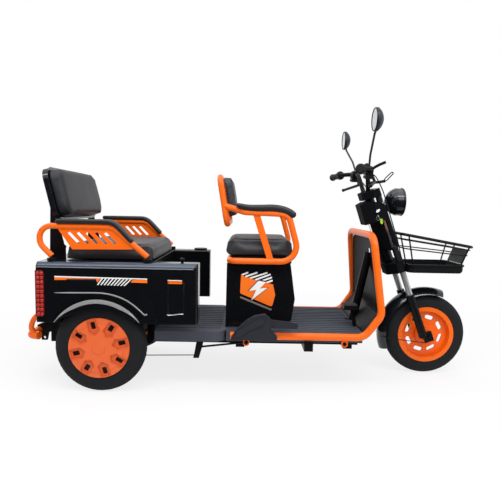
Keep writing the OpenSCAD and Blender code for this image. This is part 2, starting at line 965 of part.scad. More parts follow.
pedal_y = -150;
link_y = -258;
link_r = 4.5;
cable_r = 2;
module brake_gear() {
    color(black)
        rear_frame() {
            rod([ahead + 1152, pedal_y, floor_top + 2], [ahead + 1138, pedal_y, 352], 9);
            translate([ahead + 1093, pedal_y - 34, 349])
                cube([64, 68, 20]);
            side_plate(link_y - 7, 14)
                polygon([[414, floor_low - seat_gap], [446, floor_low - seat_gap], [440, 190], [424, 134], [398, 134],
                    [404, 160]]);
            rod([425, link_y, 184], [634, link_y, 209], link_r);
            rod([411, link_y, 146], [118, link_y, 140], cable_r);
        }
}

// Lid with the driver's cushion
lid_gap = 28;
pan_in = 16;
pan_front = hinge_x - lug_w;
cushion_h = 76;
cushion_half = 205;
cushion_rear = 532;
cushion_len = 320;
cushion_round = 24;
knuckle_r = 9.5;
knuckle = [30, 100];
module seat_pan() {
    color(black)
        rear_frame()
            difference() {
                union() {
                    round_box([ring_rear + seat_r + clear, pan_in - seat_half, seat_top + 0.3],
                        [pan_front - ring_rear - seat_r - clear, seat_w - 2 * pan_in, lid_gap + clear], 8);
                    both_sides() {
                        rod([hinge_x, knuckle[0], hinge_z], [hinge_x, knuckle[1], hinge_z], knuckle_r);
                        translate([pan_front - clear, knuckle[0], hinge_z - 4])
                            cube([hinge_x - pan_front + clear, knuckle[1] - knuckle[0], 13]);
                    }
                }
                rod([hinge_x, -pin_half, hinge_z], [hinge_x, pin_half, hinge_z], pin_r + run_gap);
            }
}

module driver_cushion() {
    low = seat_top + lid_gap + clear + 0.3;
    color(leather)
        rear_frame()
            intersection() {
                round_box([cushion_rear, -cushion_half, low], [cushion_len, 2 * cushion_half, cushion_h], 40);
                side_plate(-cushion_half, 2 * cushion_half)
                    translate([cushion_rear, low])
                        round_rect([cushion_len, cushion_h], cushion_round);
            }
}

// Steering head
yoke_half = fork_half + 24;
yoke_low = [-26, 25];
yoke_high = [358, 396];
leg_top = -150;
leg_low = -372;
leg_r = 19.5;
tube_r = 14;
front_axle = [wheelbase, 0, wheel_z];
axle_a = (wheelbase - steer_at) * cos(rake) + (wheel_z - steer_z) * sin(rake);
axle_s = -(wheelbase - steer_at) * sin(rake) + (wheel_z - steer_z) * cos(rake);

yoke_rear = 32;
yoke_front = 51;
yoke_nose = 42;
module yoke_plan() {
    difference() {
        translate([-yoke_rear, -yoke_half])
            round_rect([yoke_rear + yoke_front, 2 * yoke_half], 20);
        for (side = [-1, 1])
            polygon([[-2 * yoke_rear, side * yoke_nose], [-yoke_rear, side * yoke_nose], [yoke_rear / 3, side * yoke_half],
                [yoke_rear / 3, 2 * side * yoke_half], [-2 * yoke_rear, 2 * side * yoke_half]]);
    }
}

module yoke_block(span) {
    translate([0, 0, span[0]])
        linear_extrude(span[1] - span[0])
            yoke_plan();
}

module fork_yokes() {
    color(black)
        steer_frame()
            difference() {
                union() {
                    yoke_block(yoke_low);
                    yoke_block(yoke_high);
                    translate([0, 0, yoke_low[1] - 1])
                        cylinder(h = yoke_high[0] - yoke_low[1] + 2, r = steerer_r);
                }
                for (y = [-fork_half, fork_half])
                    translate([fork_offset, y, -500])
                        cylinder(h = 1200, r = tube_r);
            }
}

module fork_tubes() {
    color(silver)
        steer_frame()
            for (y = [-fork_half, fork_half])
                translate([fork_offset, y, leg_top])
                    cylinder(h = yoke_high[1] - leg_top, r = tube_r);
}

module fork_legs() {
    color(black)
        steer_frame() {
            for (y = [-fork_half, fork_half]) {
                translate([fork_offset, y, leg_low])
                    cylinder(h = leg_top - leg_low, r = leg_r);
                translate([fork_offset, y - 8, axle_s - 24])
                    cube([axle_a - fork_offset + 18, 16, 48]);
            }
            translate([axle_a, 0, axle_s])
                rotate([90, 0, 0])
                    translate([0, 0, -fork_half - 18])
                        cylinder(h = 2 * fork_half + 36, r = axle_r);
        }
}

// Handlebar
riser_foot = [ahead + 1216, 45, 905];
riser_top = [ahead + 1199, 100, 993];
bar_elbow = [ahead + 1187, 186, 1003];
grip_in = [ahead + 1136, 224, 1000];
grip_end = [ahead + 1108, bar_half, bar_z];
grip_r = 16.5;
grip_shares = [0.1, 1];
module handlebar() {
    color(black)
        difference() {
            rear_frame()
                both_sides()
                    bent_tube([riser_foot - [0, 0, 30], riser_foot, riser_top, bar_elbow, grip_in,
                        between(grip_in, grip_end, grip_shares[0])], bar_r, [0, 30, 30, 26, 26, 0]);
            steer_frame()
                yoke_block([yoke_high[0] - 60, yoke_high[1]]);
        }
}

module grips() {
    color(grey)
        rear_frame()
            both_sides()
                rod(between(grip_in, grip_end, grip_shares[0]), grip_end, grip_r);
}

perch_shares = [0.34, 0.74];
perch_r = 20;
perch_share = 0.55;
perch_at = riser_top + perch_share * (bar_elbow - riser_top);
lever_knee = [ahead + 1218, 160, 946];
lever_tip = [ahead + 1164, 300, 922];
lever_r = 7;
switch_size = [34, 30, 44];
module controls() {
    color(black)
        rear_frame()
            both_sides() {
                difference() {
                    union() {
                        rod(between(riser_top, bar_elbow, perch_shares[0]), between(riser_top, bar_elbow, perch_shares[1]),
                            perch_r);
                        translate(perch_at + [-switch_size[0] / 2, -switch_size[1] / 2, -switch_size[2] + 6])
                            cube(switch_size);
                    }
                    rod(riser_top, bar_elbow, bar_r + seat_gap);
                }
                bent_tube([perch_at + [15, 0, -22], lever_knee, lever_tip], lever_r, 14, 10);
            }
}

mirror_r = 50;
mirror_dome = 62;
mirror_depth = 34;
stalk_r = 5;
mirror_at = [ahead + 1165, mirror_half, mirror_z];
module mirror_head() {
    intersection() {
        translate(mirror_at - [mirror_dome - mirror_depth, 0, 0])
            sphere(r = mirror_dome);
        translate(mirror_at)
            rotate([0, 90, 0])
                cylinder(h = mirror_depth * 2, r = mirror_r);
    }
}

module mirrors() {
    color(black)
        rear_frame()
            both_sides() {
                bent_tube([perch_at + [0, 0, perch_r + 4], [ahead + 1186, 184, 1066], [ahead + 1172, 300, 1142],
                    mirror_at + [12, -8, -20]], stalk_r, 12, 10);
                mirror_head();
            }
}

module mirror_glass() {
    color(silver)
        rear_frame()
            both_sides()
                translate(mirror_at)
                    rotate([0, -90, 0])
                        cylinder(h = 3, r = mirror_r - 3);
}

// Shroud and lamp
shroud_side = [[-57, 345], [-20, 350], [35, 329], [54, 304], [58, 100], [13, 87], [-5, 102], [-57, 212],
    [-60, 253]];
shroud_front = [[-94, 352], [94, 352], [94, 116], [76, 80], [-76, 80], [-94, 116]];
shroud_plan = [[-62, -48], [-62, 48], [2, 94], [44, 94], [58, 74], [58, -74], [44, -94], [2, -94]];
shroud_sill = 242;
shroud_neck = [[-34, -2], [-34, 2], [33, 94], [44, 94], [58, 74], [58, -74], [44, -94], [33, -94]];
module head_shroud() {
    color(black)
        steer_frame()
            difference() {
                intersection() {
                    side_plate(-yoke_half, 2 * yoke_half)
                        polygon(shroud_side);
                    translate([-yoke_half, 0, 0])
                        rotate([90, 0, 90])
                            linear_extrude(2 * yoke_half)
                                polygon(shroud_front);
                    union() {
                        linear_extrude(yoke_high[1])
                            polygon(shroud_neck);
                        translate([0, 0, shroud_sill])
                            linear_extrude(yoke_high[1] - shroud_sill)
                                polygon(shroud_plan);
                    }
                }
                cylinder(h = yoke_high[1], r = head_r + clear);
                for (y = [-fork_half, fork_half])
                    translate([fork_offset, y, 0])
                        cylinder(h = yoke_high[1], r = tube_r + seat_gap);
            }
}

lamp_at = [ahead + 1361, 0, 859];
lamp_r = 67.5;
lamp_bowl = 50;
lamp_band = 32;
lens_t = 5;
lamp_step = 1;
bowl_r = lamp_r - lamp_step;
lamp_dome = (bowl_r * bowl_r + lamp_bowl * lamp_bowl) / (2 * lamp_bowl);
stem = [[ahead + 1262, 0, 818], [ahead + 1340, 0, 852]];
stem_r = 18;
module headlamp() {
    color(black)
        difference() {
            rear_frame() {
                intersection() {
                    translate(lamp_at + [lamp_dome - lamp_bowl, 0, 0])
                        sphere(r = lamp_dome);
                    translate(lamp_at - [2 * lamp_r - lamp_step, lamp_r, lamp_r])
                        cube([2 * lamp_r, 2 * lamp_r, 2 * lamp_r]);
                }
                translate(lamp_at)
                    rotate([0, 90, 0])
                        cylinder(h = lamp_band, r = lamp_r);
                rod(stem[0], stem[1], stem_r);
            }
            steer_frame()
                side_plate(-lamp_r, 2 * lamp_r)
                    translate([seat_gap, seat_gap])
                        polygon(concat([for (i = [1:4]) shroud_side[i]], [[-2 * lamp_r, 0], [-2 * lamp_r, shroud_side[1][1]]]));
        }
}

module headlamp_lens() {
    color(silver)
        rear_frame()
            translate(lamp_at + [lamp_band, 0, 0])
                rotate([0, 90, 0])
                    cylinder(h = lens_t, r = lamp_r - lens_t);
}

// Basket
tray_x = steer_at + yoke_front * cos(rake) - yoke_low[0] * sin(rake) + 0.3;
tray_h = 40;
wire_r = 3;
wire_sides = 8;
rim_rear = ahead + 1372;
rim_front = rim_rear + rim_len;
rim_rear_z = 706;
rim_front_z = 648;
rim_r = 7;
wire_shares = [0.52, 0.82];
basket_round = 40;
tray_round = 30;
tray_t = 5;
lip_h = 8;
lip_w = 4;
module tray_outline(grow) {
    translate([tray_x - grow, -basket_half + 12 - grow])
        round_rect([tray_len + 2 * grow, 2 * (basket_half - 12 + grow)], 30);
}

function rim_point(t, y) = [rim_rear + t * (rim_front - rim_r - rim_rear), y, rim_rear_z + t * (rim_front_z - rim_rear_z)];
function tray_point(t, y) = [tray_x + t * tray_len, y * (basket_half - 14) / basket_half, tray_z + tray_h];
function between(p, q, t) = p + t * (q - p);

module basket_loop(t, r) {
    corners = [between(tray_point(0, -basket_half), rim_point(0, -basket_half), t),
        between(tray_point(1, -basket_half), rim_point(1, -basket_half), t),
        between(tray_point(1, basket_half), rim_point(1, basket_half), t),
        between(tray_point(0, basket_half), rim_point(0, basket_half), t)];
    tube_loop(corners, r, basket_round, wire_sides);
}

post_shares = [0.07, 0.93];
foot_gap = 1.2;
front_shares = [-0.62, 0.62];
plate_half = 80;
plate_t = 4;
plate_shares = [0.02, 0.8];
module wire(p, q) {
    rod(p, q, wire_r * 1.2, $fn = wire_sides);
}

module basket() {
    low = between(tray_point(1, 0), rim_point(1, 0), plate_shares[0]);
    high = between(tray_point(1, 0), rim_point(1, 0), plate_shares[1]);
    color(black)
        rear_frame() {
            basket_loop(1, rim_r);
            for (t = wire_shares)
                basket_loop(t, wire_r);
            for (s = post_shares, y = [-basket_half, basket_half])
                wire(tray_point(s, y) + [0, 0, foot_gap], rim_point(s, y));
            for (k = front_shares) {
                wire(tray_point(0, k * basket_half) + [0, 0, foot_gap], rim_point(0, k * basket_half));
                wire(tray_point(1, k * basket_half) + [0, 0, foot_gap], rim_point(1, k * basket_half));
            }
            side_plate(-plate_half, 2 * plate_half)
                band([[low[0], low[2]], [high[0], high[2]]], 0, plate_t);
        }
}

module tray_block(in) {
    intersection() {
        translate([0, 0, tray_z + in])
            linear_extrude(tray_h)
                tray_outline(-in);
        side_plate(-basket_half, 2 * basket_half)
            union() {
                translate([tray_x, tray_z + in])
                    square([tray_len - tray_round, tray_h]);
                translate([tray_x + in, tray_z + in])
                    round_rect([tray_len - 2 * in, 2 * tray_h], tray_round - in);
            }
    }
}

module basket_tray() {
    color(black)
        rear_frame()
            difference() {
                union() {
                    tray_block(0);
                    translate([0, 0, tray_z + tray_h - lip_h])
                        linear_extrude(lip_h)
                            intersection() {
                                tray_outline(lip_w);
                                translate([tray_x, -basket_half])
                                    square([tray_len + lip_w, 2 * basket_half]);
                            }
                }
                tray_block(tray_t);
            }
}

// Front mudguard
guard_r = tyre_r + 36;
guard_t = 4;
guard_half = fork_half - leg_r - 0.3;
guard_arch = 64;
guard_drop = guard_arch - sqrt(guard_arch * guard_arch - guard_half * guard_half);
guard_from = 70;
guard_to = 200;
module front_mudguard() {
    color(black)
        rear_frame()
            translate(front_axle)
                rotate([90, 0, 0])
                    rotate([0, 0, guard_from])
                        rotate_extrude(angle = guard_to - guard_from, $fn = 96)
                            intersection() {
                                difference() {
                                    translate([guard_r - guard_arch, 0])
                                        circle(r = guard_arch);
                                    translate([guard_r - guard_arch, 0])
                                        circle(r = guard_arch - guard_t);
                                }
                                translate([guard_r - guard_drop, -guard_half])
                                    square([guard_arch, 2 * guard_half]);
                            }
}

// Wheels
module wheel_at(x, y) {
    translate([x, y, wheel_z])
        rotate([90, 0, 0])
            children();
}

module tyre_ring(w, rim_r) {
    rotate_extrude($fn = 96)
        difference() {
            translate([tyre_r - w / 2, 0])
                circle(r = w / 2);
            translate([0, -w])
                square([rim_r, 2 * w]);
        }
}

module front_tyre() {
    color(grey)
        rear_frame()
            wheel_at(wheelbase, 0)
                tyre_ring(front_tyre_w, front_rim_r - 8);
}

rim_side = front_tyre_w / 2 - 1;
bead_y = 30;
slot_ring = 84;
slot_len = 46;
slot_w = 20;
slot_turn = 28;
hub_r = 30;
hub_half = fork_half - 20;
module front_rim() {
    color(orange)
        rear_frame()
            wheel_at(wheelbase, 0)
                difference() {
                    union() {
                        rotate_extrude($fn = 96)
                            polygon([[front_rim_r - 20, -rim_side], [front_rim_r + 1, -rim_side], [front_rim_r + 1, -bead_y],
                                [front_rim_r - 8, -bead_y], [front_rim_r - 8, bead_y], [front_rim_r + 1, bead_y],
                                [front_rim_r + 1, rim_side], [front_rim_r - 20, rim_side], [front_rim_r - 24, 8],
                                [0, 8], [0, -8], [front_rim_r - 24, -8]]);
                        translate([0, 0, -hub_half])
                            cylinder(h = 2 * hub_half, r = hub_r);
                        translate([0, 0, -hub_half / 2])
                            cylinder(h = hub_half, r = hub_r + 22);
                    }
                    translate([0, 0, -fork_half])
                        cylinder(h = 2 * fork_half, r = axle_r + run_gap);
                    for (i = [0:7])
                        rotate([0, 0, 45 * i + slot_turn])
                            translate([slot_ring - slot_w / 2, -slot_len / 2, -20])
                                linear_extrude(40)
                                    round_rect([slot_w, slot_len], slot_w / 2 - 0.5);
                }
}

module rear_tyre(side) {
    color(grey)
        rear_frame()
            wheel_at(0, side * rear_y)
                tyre_ring(rear_tyre_w, rear_rim_r);
}

cap_face = rear_tyre_w / 2 + 6;
cap_t = 16;
boss_r = 31;
pocket_d = 5;
pocket_share = [[0.44, 0], [0.58, 0.185], [0.965, 0.15], [0.965, -0.15], [0.58, -0.185]];
window_r = 102;
window_len = 31;
window_w = 21;
module rear_rim(side) {
    color(orange)
        rear_frame()
            wheel_at(0, side * rear_y)
                mirror([0, 0, side > 0 ? 1 : 0])
                    difference() {
                        union() {
                            rotate_extrude($fn = 96)
                                translate([rear_rim_r - 14, -rear_tyre_w / 2 + 6])
                                    square([14, rear_tyre_w - 6]);
                            translate([0, 0, cap_face - cap_t])
                                cylinder(h = cap_t - 2, r = rear_rim_r - 1, $fn = 96);
                            translate([0, 0, cap_face - cap_t])
                                cylinder(h = cap_t, r = rear_rim_r * 0.8, $fn = 96);
                            translate([0, 0, -rear_tyre_w / 2 + 6])
                                cylinder(h = cap_face + rear_tyre_w / 2 - 6, r = boss_r);
                        }
                        translate([0, 0, -rear_tyre_w])
                            cylinder(h = 2 * rear_tyre_w - 12, r = stub_r + run_gap);
                        for (i = [0:7])
                            rotate([0, 0, 14 + 45 * i]) {
                                translate([0, 0, cap_face - pocket_d])
                                    linear_extrude(2 * pocket_d)
                                        polygon([for (q = pocket_share) rear_rim_r * q]);
                                translate([window_r - window_len / 2, -window_w / 2, 0])
                                    linear_extrude(2 * cap_face)
                                        round_rect([window_len, window_w], 4);
                            }
                        translate([0, 0, cap_face - 3])
                            difference() {
                                cylinder(h = 10, r = boss_r - 5);
                                cylinder(h = 10, r = boss_r - 9);
                            }
                    }
}

module rear_tyre_left() {
    rear_tyre(1);
}

module rear_tyre_right() {
    rear_tyre(-1);
}

module rear_rim_left() {
    rear_rim(1);
}

module rear_rim_right() {
    rear_rim(-1);
}

hoop_frame();
chassis();
head_tube();
leg_shield();
front_floor();
rear_floor();
seat_base();
battery();
seat_frame();
driver_back_pad();
arm_pads();
quarter_panels();
leg_panels();
rear_panel();
seat_box();
box_pan();
tail_lamps();
passenger_arms();
rail_feet();
passenger_cushion();
back_shell();
back_pad();
back_brackets();
rear_bumper();
bumper_bracket();
rear_axle();
leaf_springs();
handbrake();
brake_gear();
seat_pan();
driver_cushion();
fork_yokes();
fork_tubes();
fork_legs();
handlebar();
grips();
controls();
mirrors();
mirror_glass();
head_shroud();
headlamp();
headlamp_lens();
basket();
basket_tray();
front_mudguard();
front_tyre();
front_rim();
rear_tyre_left();
rear_rim_left();
rear_tyre_right();
rear_rim_right();
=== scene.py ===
"""An electric passenger tricycle, dressed over its frame and lit in a plain white studio."""

import math

import bmesh
import bpy
from mathutils import Matrix, Vector
from mathutils.bvhtree import BVHTree


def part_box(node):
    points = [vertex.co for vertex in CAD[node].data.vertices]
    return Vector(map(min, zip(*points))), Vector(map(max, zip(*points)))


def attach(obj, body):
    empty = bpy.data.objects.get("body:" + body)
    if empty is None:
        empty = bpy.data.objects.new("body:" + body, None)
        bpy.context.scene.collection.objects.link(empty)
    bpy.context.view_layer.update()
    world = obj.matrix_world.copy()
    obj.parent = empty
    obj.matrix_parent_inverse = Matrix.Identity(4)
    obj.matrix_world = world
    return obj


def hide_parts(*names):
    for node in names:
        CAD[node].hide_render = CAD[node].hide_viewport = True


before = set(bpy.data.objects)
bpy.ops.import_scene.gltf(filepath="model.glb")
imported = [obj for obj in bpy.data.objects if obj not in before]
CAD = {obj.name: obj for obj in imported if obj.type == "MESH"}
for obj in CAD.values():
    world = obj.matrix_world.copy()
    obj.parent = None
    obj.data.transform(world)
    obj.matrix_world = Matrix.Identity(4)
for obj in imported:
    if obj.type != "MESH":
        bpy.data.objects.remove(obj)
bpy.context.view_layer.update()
MM = 0.001

# Places are given in millimetres ahead of the rear axle, left of the centre plane and above the ground
AXLE_X = sum(corner[0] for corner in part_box("rear_tyre_left")) / 2
AXLE_Z = 200
SIDES = (-1, 1)
UP = Vector((0, 0, 1))
LEFT = Vector((0, 1, 0))
AHEAD = Vector((1, 0, 0))


def at(x, y, z):
    """A place in the frame, in metres."""
    return Vector((AXLE_X + x * MM, y * MM, z * MM))


def leaning(angle):
    """Directions ahead and up that lean back by an angle."""
    turn = math.radians(angle)
    return Vector((math.cos(turn), 0, math.sin(turn))), Vector((-math.sin(turn), 0, math.cos(turn)))


# Meshes and pieces


def new_object(name, data):
    """A new object in the scene."""
    thing = bpy.data.objects.new(name, data)
    bpy.context.scene.collection.objects.link(thing)
    return thing


def mesh_object(name, verts, faces, material, body, smooth_angle=35):
    """A new piece that rides on a body."""
    mesh = bpy.data.meshes.new(name)
    mesh.from_pydata([tuple(v) for v in verts], [], faces)
    shape = bmesh.new()
    shape.from_mesh(mesh)
    bmesh.ops.remove_doubles(shape, verts=shape.verts, dist=1e-6)
    bmesh.ops.recalc_face_normals(shape, faces=shape.faces)
    shape.to_mesh(mesh)
    shape.free()
    piece = new_object(name, mesh)
    mesh.materials.append(material)
    shade(piece, smooth_angle)
    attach(piece, body)
    return piece


def shade(piece, angle):
    """Smooth shading up to an angle between faces."""
    mesh = piece.data
    mesh.polygons.foreach_set("use_smooth", [True] * len(mesh.polygons))
    mesh.set_sharp_from_angle(angle=math.radians(angle))


def turns(count):
    """Angles at equal steps round a circle."""
    return [2 * math.pi * i / count for i in range(count)]


class Shape:
    """Vertices and faces that gather into one mesh."""

    def __init__(self):
        self.verts = []
        self.faces = []

    def add(self, verts, faces):
        start = len(self.verts)
        self.verts.extend(Vector(v) for v in verts)
        self.faces.extend(tuple(start + i for i in face) for face in faces)

    def tube(self, line, radius, sides, up, closed=False):
        """Adds a round tube along a line."""
        self.add(*sweep(line, circle(radius * MM, sides), up, closed))

    def turned(self, profile, centre, steps, axis, closed=False):
        """Adds a profile of radius and place along an axis, turned about it."""
        axis = axis.normalized()
        side = axis.orthogonal().normalized()
        other = axis.cross(side)
        verts = []
        for r, a in profile:
            for turn in turns(steps):
                verts.append(centre + (axis * a + (side * math.cos(turn) + other * math.sin(turn)) * r) * MM)
        self.add(verts, ring_faces(len(profile), steps, closed))

    def piece(self, name, material, body, smooth_angle=35):
        return mesh_object(name, self.verts, self.faces, material, body, smooth_angle)


def ring_faces(rings, count, closed=False):
    """Quads between rings of points, with end caps unless the last ring meets the first."""
    faces = []
    for i in range(rings if closed else rings - 1):
        for j in range(count):
            a = i * count
            b = (i + 1) % rings * count
            k = (j + 1) % count
            faces.append((a + j, a + k, b + k, b + j))
    if not closed:
        faces.append(tuple(range(count - 1, -1, -1)))
        faces.append(tuple((rings - 1) * count + j for j in range(count)))
    return faces


def circle(radius, sides):
    """A round section."""
    return [(radius * math.cos(turn), radius * math.sin(turn)) for turn in turns(sides)]


def soft_rect(width, height, radius, steps=5):
    """A rectangle section with rounded corners."""
    points = []
    for k, (sx, sy) in enumerate(((1, 1), (-1, 1), (-1, -1), (1, -1))):
        for i in range(steps + 1):
            a = math.pi / 2 * (k + i / steps)
            points.append((sx * (width / 2 - radius) + radius * math.cos(a),
                           sy * (height / 2 - radius) + radius * math.sin(a)))
    return points


def curve_through(points, steps=8, closed=False):
    """A smooth line through points."""
    points = [Vector(p) for p in points]
    n = len(points)
    line = []
    spans = n if closed else n - 1
    for i in range(spans):
        if closed:
            p0, p1, p2, p3 = (points[(i + k) % n] for k in (-1, 0, 1, 2))
        else:
            p1 = points[i]
            p2 = points[i + 1]
            p0 = points[i - 1] if i else p1 * 2 - p2
            p3 = points[i + 2] if i + 2 < n else p2 * 2 - p1
        for s in range(steps):
            t = s / steps
            line.append(0.5 * (2 * p1 + (p2 - p0) * t + (2 * p0 - 5 * p1 + 4 * p2 - p3) * t * t
                               + (3 * p1 - p0 - 3 * p2 + p3) * t ** 3))
    if not closed:
        line.append(points[-1])
    return line


def sweep(path, section, up, closed=False):
    """Points and faces of a section carried along a path, its first axis kept near up."""
    n = len(path)
    verts = []
    for i, p in enumerate(path):
        ahead = path[(i + 1) % n] if closed or i + 1 < n else p
        behind = path[i - 1] if closed or i else p
        along = (ahead - behind).normalized()
        side = (up - along * up.dot(along)).normalized()
        other = along.cross(side)
        verts.extend(p + side * u + other * v for u, v in section)
    return verts, ring_faces(n, len(section), closed)


def side_slab(outline, y0, y1):
    """A plate whose outline is seen from the side, between two distances from the centre plane."""
    n = len(outline)
    verts = [at(x, y, z) for y in (y0, y1) for x, z in outline]
    return verts, ring_faces(2, n)


# Materials


COAT_ROUGHNESS = 0.06
CLOUD_DETAIL = 5
LEAST_ROUGHNESS = 0.02
EDGE_SAMPLES = 4
BRUSH_SHARES = (1, 1, 0.04)


def tint(colour, factor):
    """A colour made darker or lighter."""
    return tuple(min(c * factor, 1) for c in colour) + (1,)


def finish(name, colour, rough, metal=0.0, coat=0.0, specular=0.5, mottle=0.12, mottle_scale=14,
           rough_range=0.08, grain=None, edge=1.5):
    """A surface with uneven colour and gloss, a grain and softened edges."""
    mat = bpy.data.materials.new(name)
    mat.use_nodes = True
    nodes = mat.node_tree.nodes
    links = mat.node_tree.links
    skin = nodes["Principled BSDF"]
    skin.inputs["Metallic"].default_value = metal
    skin.inputs["Coat Weight"].default_value = coat
    skin.inputs["Coat Roughness"].default_value = COAT_ROUGHNESS
    skin.inputs["Specular IOR Level"].default_value = specular
    place = nodes.new("ShaderNodeTexCoord")
    cloud = nodes.new("ShaderNodeTexNoise")
    cloud.inputs["Scale"].default_value = mottle_scale
    cloud.inputs["Detail"].default_value = CLOUD_DETAIL
    links.new(place.outputs["Object"], cloud.inputs["Vector"])
    blend = nodes.new("ShaderNodeMix")
    blend.data_type = "RGBA"
    blend.inputs["A"].default_value = tint(colour, 1 - mottle)
    blend.inputs["B"].default_value = tint(colour, 1 + mottle)
    links.new(cloud.outputs["Fac"], blend.inputs["Factor"])
    links.new(blend.outputs["Result"], skin.inputs["Base Color"])
    gloss = nodes.new("ShaderNodeMapRange")
    gloss.inputs["To Min"].default_value = max(rough - rough_range, LEAST_ROUGHNESS)
    gloss.inputs["To Max"].default_value = min(rough + rough_range, 1)
    links.new(cloud.outputs["Fac"], gloss.inputs["Value"])
    links.new(gloss.outputs["Result"], skin.inputs["Roughness"])
    soft = nodes.new("ShaderNodeBevel")
    soft.inputs["Radius"].default_value = edge * MM
    soft.samples = EDGE_SAMPLES
    surface = soft
    if grain:
        kind, scale, depth = grain
        pattern = nodes.new("ShaderNodeTexVoronoi" if kind == "cells" else "ShaderNodeTexNoise")
        pattern.inputs["Scale"].default_value = scale
        links.new(place.outputs["Object"], pattern.inputs["Vector"])
        if kind == "brushed":
            stretch = nodes.new("ShaderNodeMapping")
            stretch.inputs["Scale"].default_value = BRUSH_SHARES
            links.new(place.outputs["Object"], stretch.inputs["Vector"])
            links.new(stretch.outputs["Vector"], pattern.inputs["Vector"])
        bump = nodes.new("ShaderNodeBump")
        bump.inputs["Distance"].default_value = depth * MM
        bump.inputs["Strength"].default_value = 1
        links.new(pattern.outputs["Distance" if kind == "cells" else "Fac"], bump.inputs["Height"])
        links.new(soft.outputs["Normal"], bump.inputs["Normal"])
        surface = bump
    links.new(surface.outputs["Normal"], skin.inputs["Normal"])
    return mat


ORANGE = (0.86, 0.13, 0.003)
CAP_ORANGE = (0.76, 0.13, 0.03)
BLACK = (0.0042, 0.0046, 0.0060)
GREY = (0.058, 0.064, 0.083)
LEATHER = (0.023, 0.0232, 0.0275)
RUBBER = (0.009, 0.009, 0.0095)
WHITE = (0.82, 0.82, 0.82)
SILVER = (0.62, 0.63, 0.65)
RED = (0.42, 0.017, 0.010)

orange_paint = finish("orange_paint", ORANGE, 0.34, coat=0.12, specular=0.25, mottle=0.05,
                      grain=("noise", 420, 0.02))
cap_paint = finish("cap_paint", CAP_ORANGE, 0.4, coat=0.1, specular=0.3, mottle=0.06, edge=2.5,
                   grain=("noise", 420, 0.03))
black_gloss = finish("black_gloss", BLACK, 0.24, coat=0.32, specular=0.2, grain=("noise", 300, 0.012), edge=4)
black_steel = finish("black_steel", BLACK, 0.4, coat=0.03, specular=0.12, grain=("noise", 520, 0.05))
black_plastic = finish("black_plastic", (0.0062, 0.0066, 0.0078), 0.5, specular=0.12,
                       grain=("noise", 900, 0.09))
floor_plastic = finish("floor_plastic", GREY, 0.55, specular=0.15, grain=("noise", 700, 0.16), mottle=0.18)
cover_plastic = finish("cover_plastic", (0.022, 0.024, 0.032), 0.5, specular=0.2, grain=("noise", 700, 0.1))
leather = finish("leather", LEATHER, 0.48, specular=0.4, mottle=0.16, mottle_scale=9,
                 grain=("cells", 520, 0.22))
thread = finish("thread", (0.022, 0.0205, 0.021), 0.6, specular=0.35, grain=("noise", 1600, 0.2))
pad_rubber = finish("pad_rubber", (0.016, 0.0165, 0.019), 0.45, specular=0.35, grain=("cells", 800, 0.1))
grip_rubber = finish("grip_rubber", RUBBER, 0.6, specular=0.3, grain=("noise", 1100, 0.1))
tyre_rubber = finish("tyre_rubber", (0.0102, 0.0110, 0.0130), 0.72, specular=0.18, mottle=0.25,
                     mottle_scale=30, grain=("noise", 800, 0.12))
silver_steel = finish("silver_steel", SILVER, 0.45, metal=1, mottle=0.05, grain=("brushed", 900, 0.02))
chrome = finish("chrome", (0.75, 0.76, 0.78), 0.1, metal=1, mottle=0.03, rough_range=0.03)
cast_alloy = finish("cast_alloy", (0.02, 0.02, 0.021), 0.5, metal=0.6, grain=("noise", 340, 0.25))
white_vinyl = finish("white_vinyl", WHITE, 0.35, specular=0.3, mottle=0.03)
orange_vinyl = finish("orange_vinyl", (0.9, 0.16, 0.005), 0.35, specular=0.3, mottle=0.04)
dark_vinyl = finish("dark_vinyl", (0.03, 0.033, 0.042), 0.4, specular=0.3, mottle=0.05)
silver_vinyl = finish("silver_vinyl", (0.19, 0.165, 0.15), 0.35, mottle=0.05)
trim_grey = finish("trim_grey", (0.26, 0.26, 0.255), 0.35, coat=0.2, mottle=0.08)
lamp_red = finish("lamp_red", RED, 0.2, coat=0.5, mottle=0.15, mottle_scale=40)
lamp_dark = finish("lamp_dark", (0.17, 0.006, 0.005), 0.3, coat=0.3, specular=0.3)
zinc = finish("zinc", (0.45, 0.45, 0.46), 0.38, metal=1, grain=("noise", 700, 0.05))
tag_green = finish("tag_green", (0.36, 0.62, 0.02), 0.4)
# Painted shade: a darker orange for the hub caps' pocket floors and walls, standing in for the shade in these
# recesses
cap_pocket_painted_shade = finish("cap_pocket_painted_shade", (0.64, 0.1, 0.023), 0.45, coat=0.08, specular=0.25, mottle=0.06)
# Painted reflection: this blue-grey stands in for the sky seen in the glossy rounded upper edges of the box
# walls
rail_painted_reflection = finish("rail_painted_reflection", (0.026, 0.042, 0.075), 0.3, coat=0.4, specular=0.3, edge=1)
back_leather = finish("back_leather", (0.0145, 0.015, 0.0195), 0.5, specular=0.35, mottle=0.16,
                      mottle_scale=9, grain=("cells", 520, 0.2))
steer_black = finish("steer_black", (0.006, 0.0066, 0.0085), 0.68, specular=0.04, grain=("noise", 600, 0.05))
mirror_shell = finish("mirror_shell", (0.018, 0.024, 0.034), 0.45, specular=0.25, edge=3)
cable_black = finish("cable_black", (0.008, 0.008, 0.009), 0.45, specular=0.3, grain=("noise", 1200, 0.05))
shell_edge = finish("shell_edge", (0.006, 0.007, 0.010), 0.18, coat=0.5, specular=0.3, edge=3)


LENS_COLOUR = (0.95, 0.97, 1, 1)
LENS_ROUGHNESS = 0.03
LENS_IOR = 1.46


def clear_glass():
    """The headlamp's glass."""
    mat = bpy.data.materials.new("lens_glass")
    mat.use_nodes = True
    skin = mat.node_tree.nodes["Principled BSDF"]
    skin.inputs["Base Color"].default_value = LENS_COLOUR
    skin.inputs["Roughness"].default_value = LENS_ROUGHNESS
    skin.inputs["Transmission Weight"].default_value = 1
    skin.inputs["IOR"].default_value = LENS_IOR
    return mat


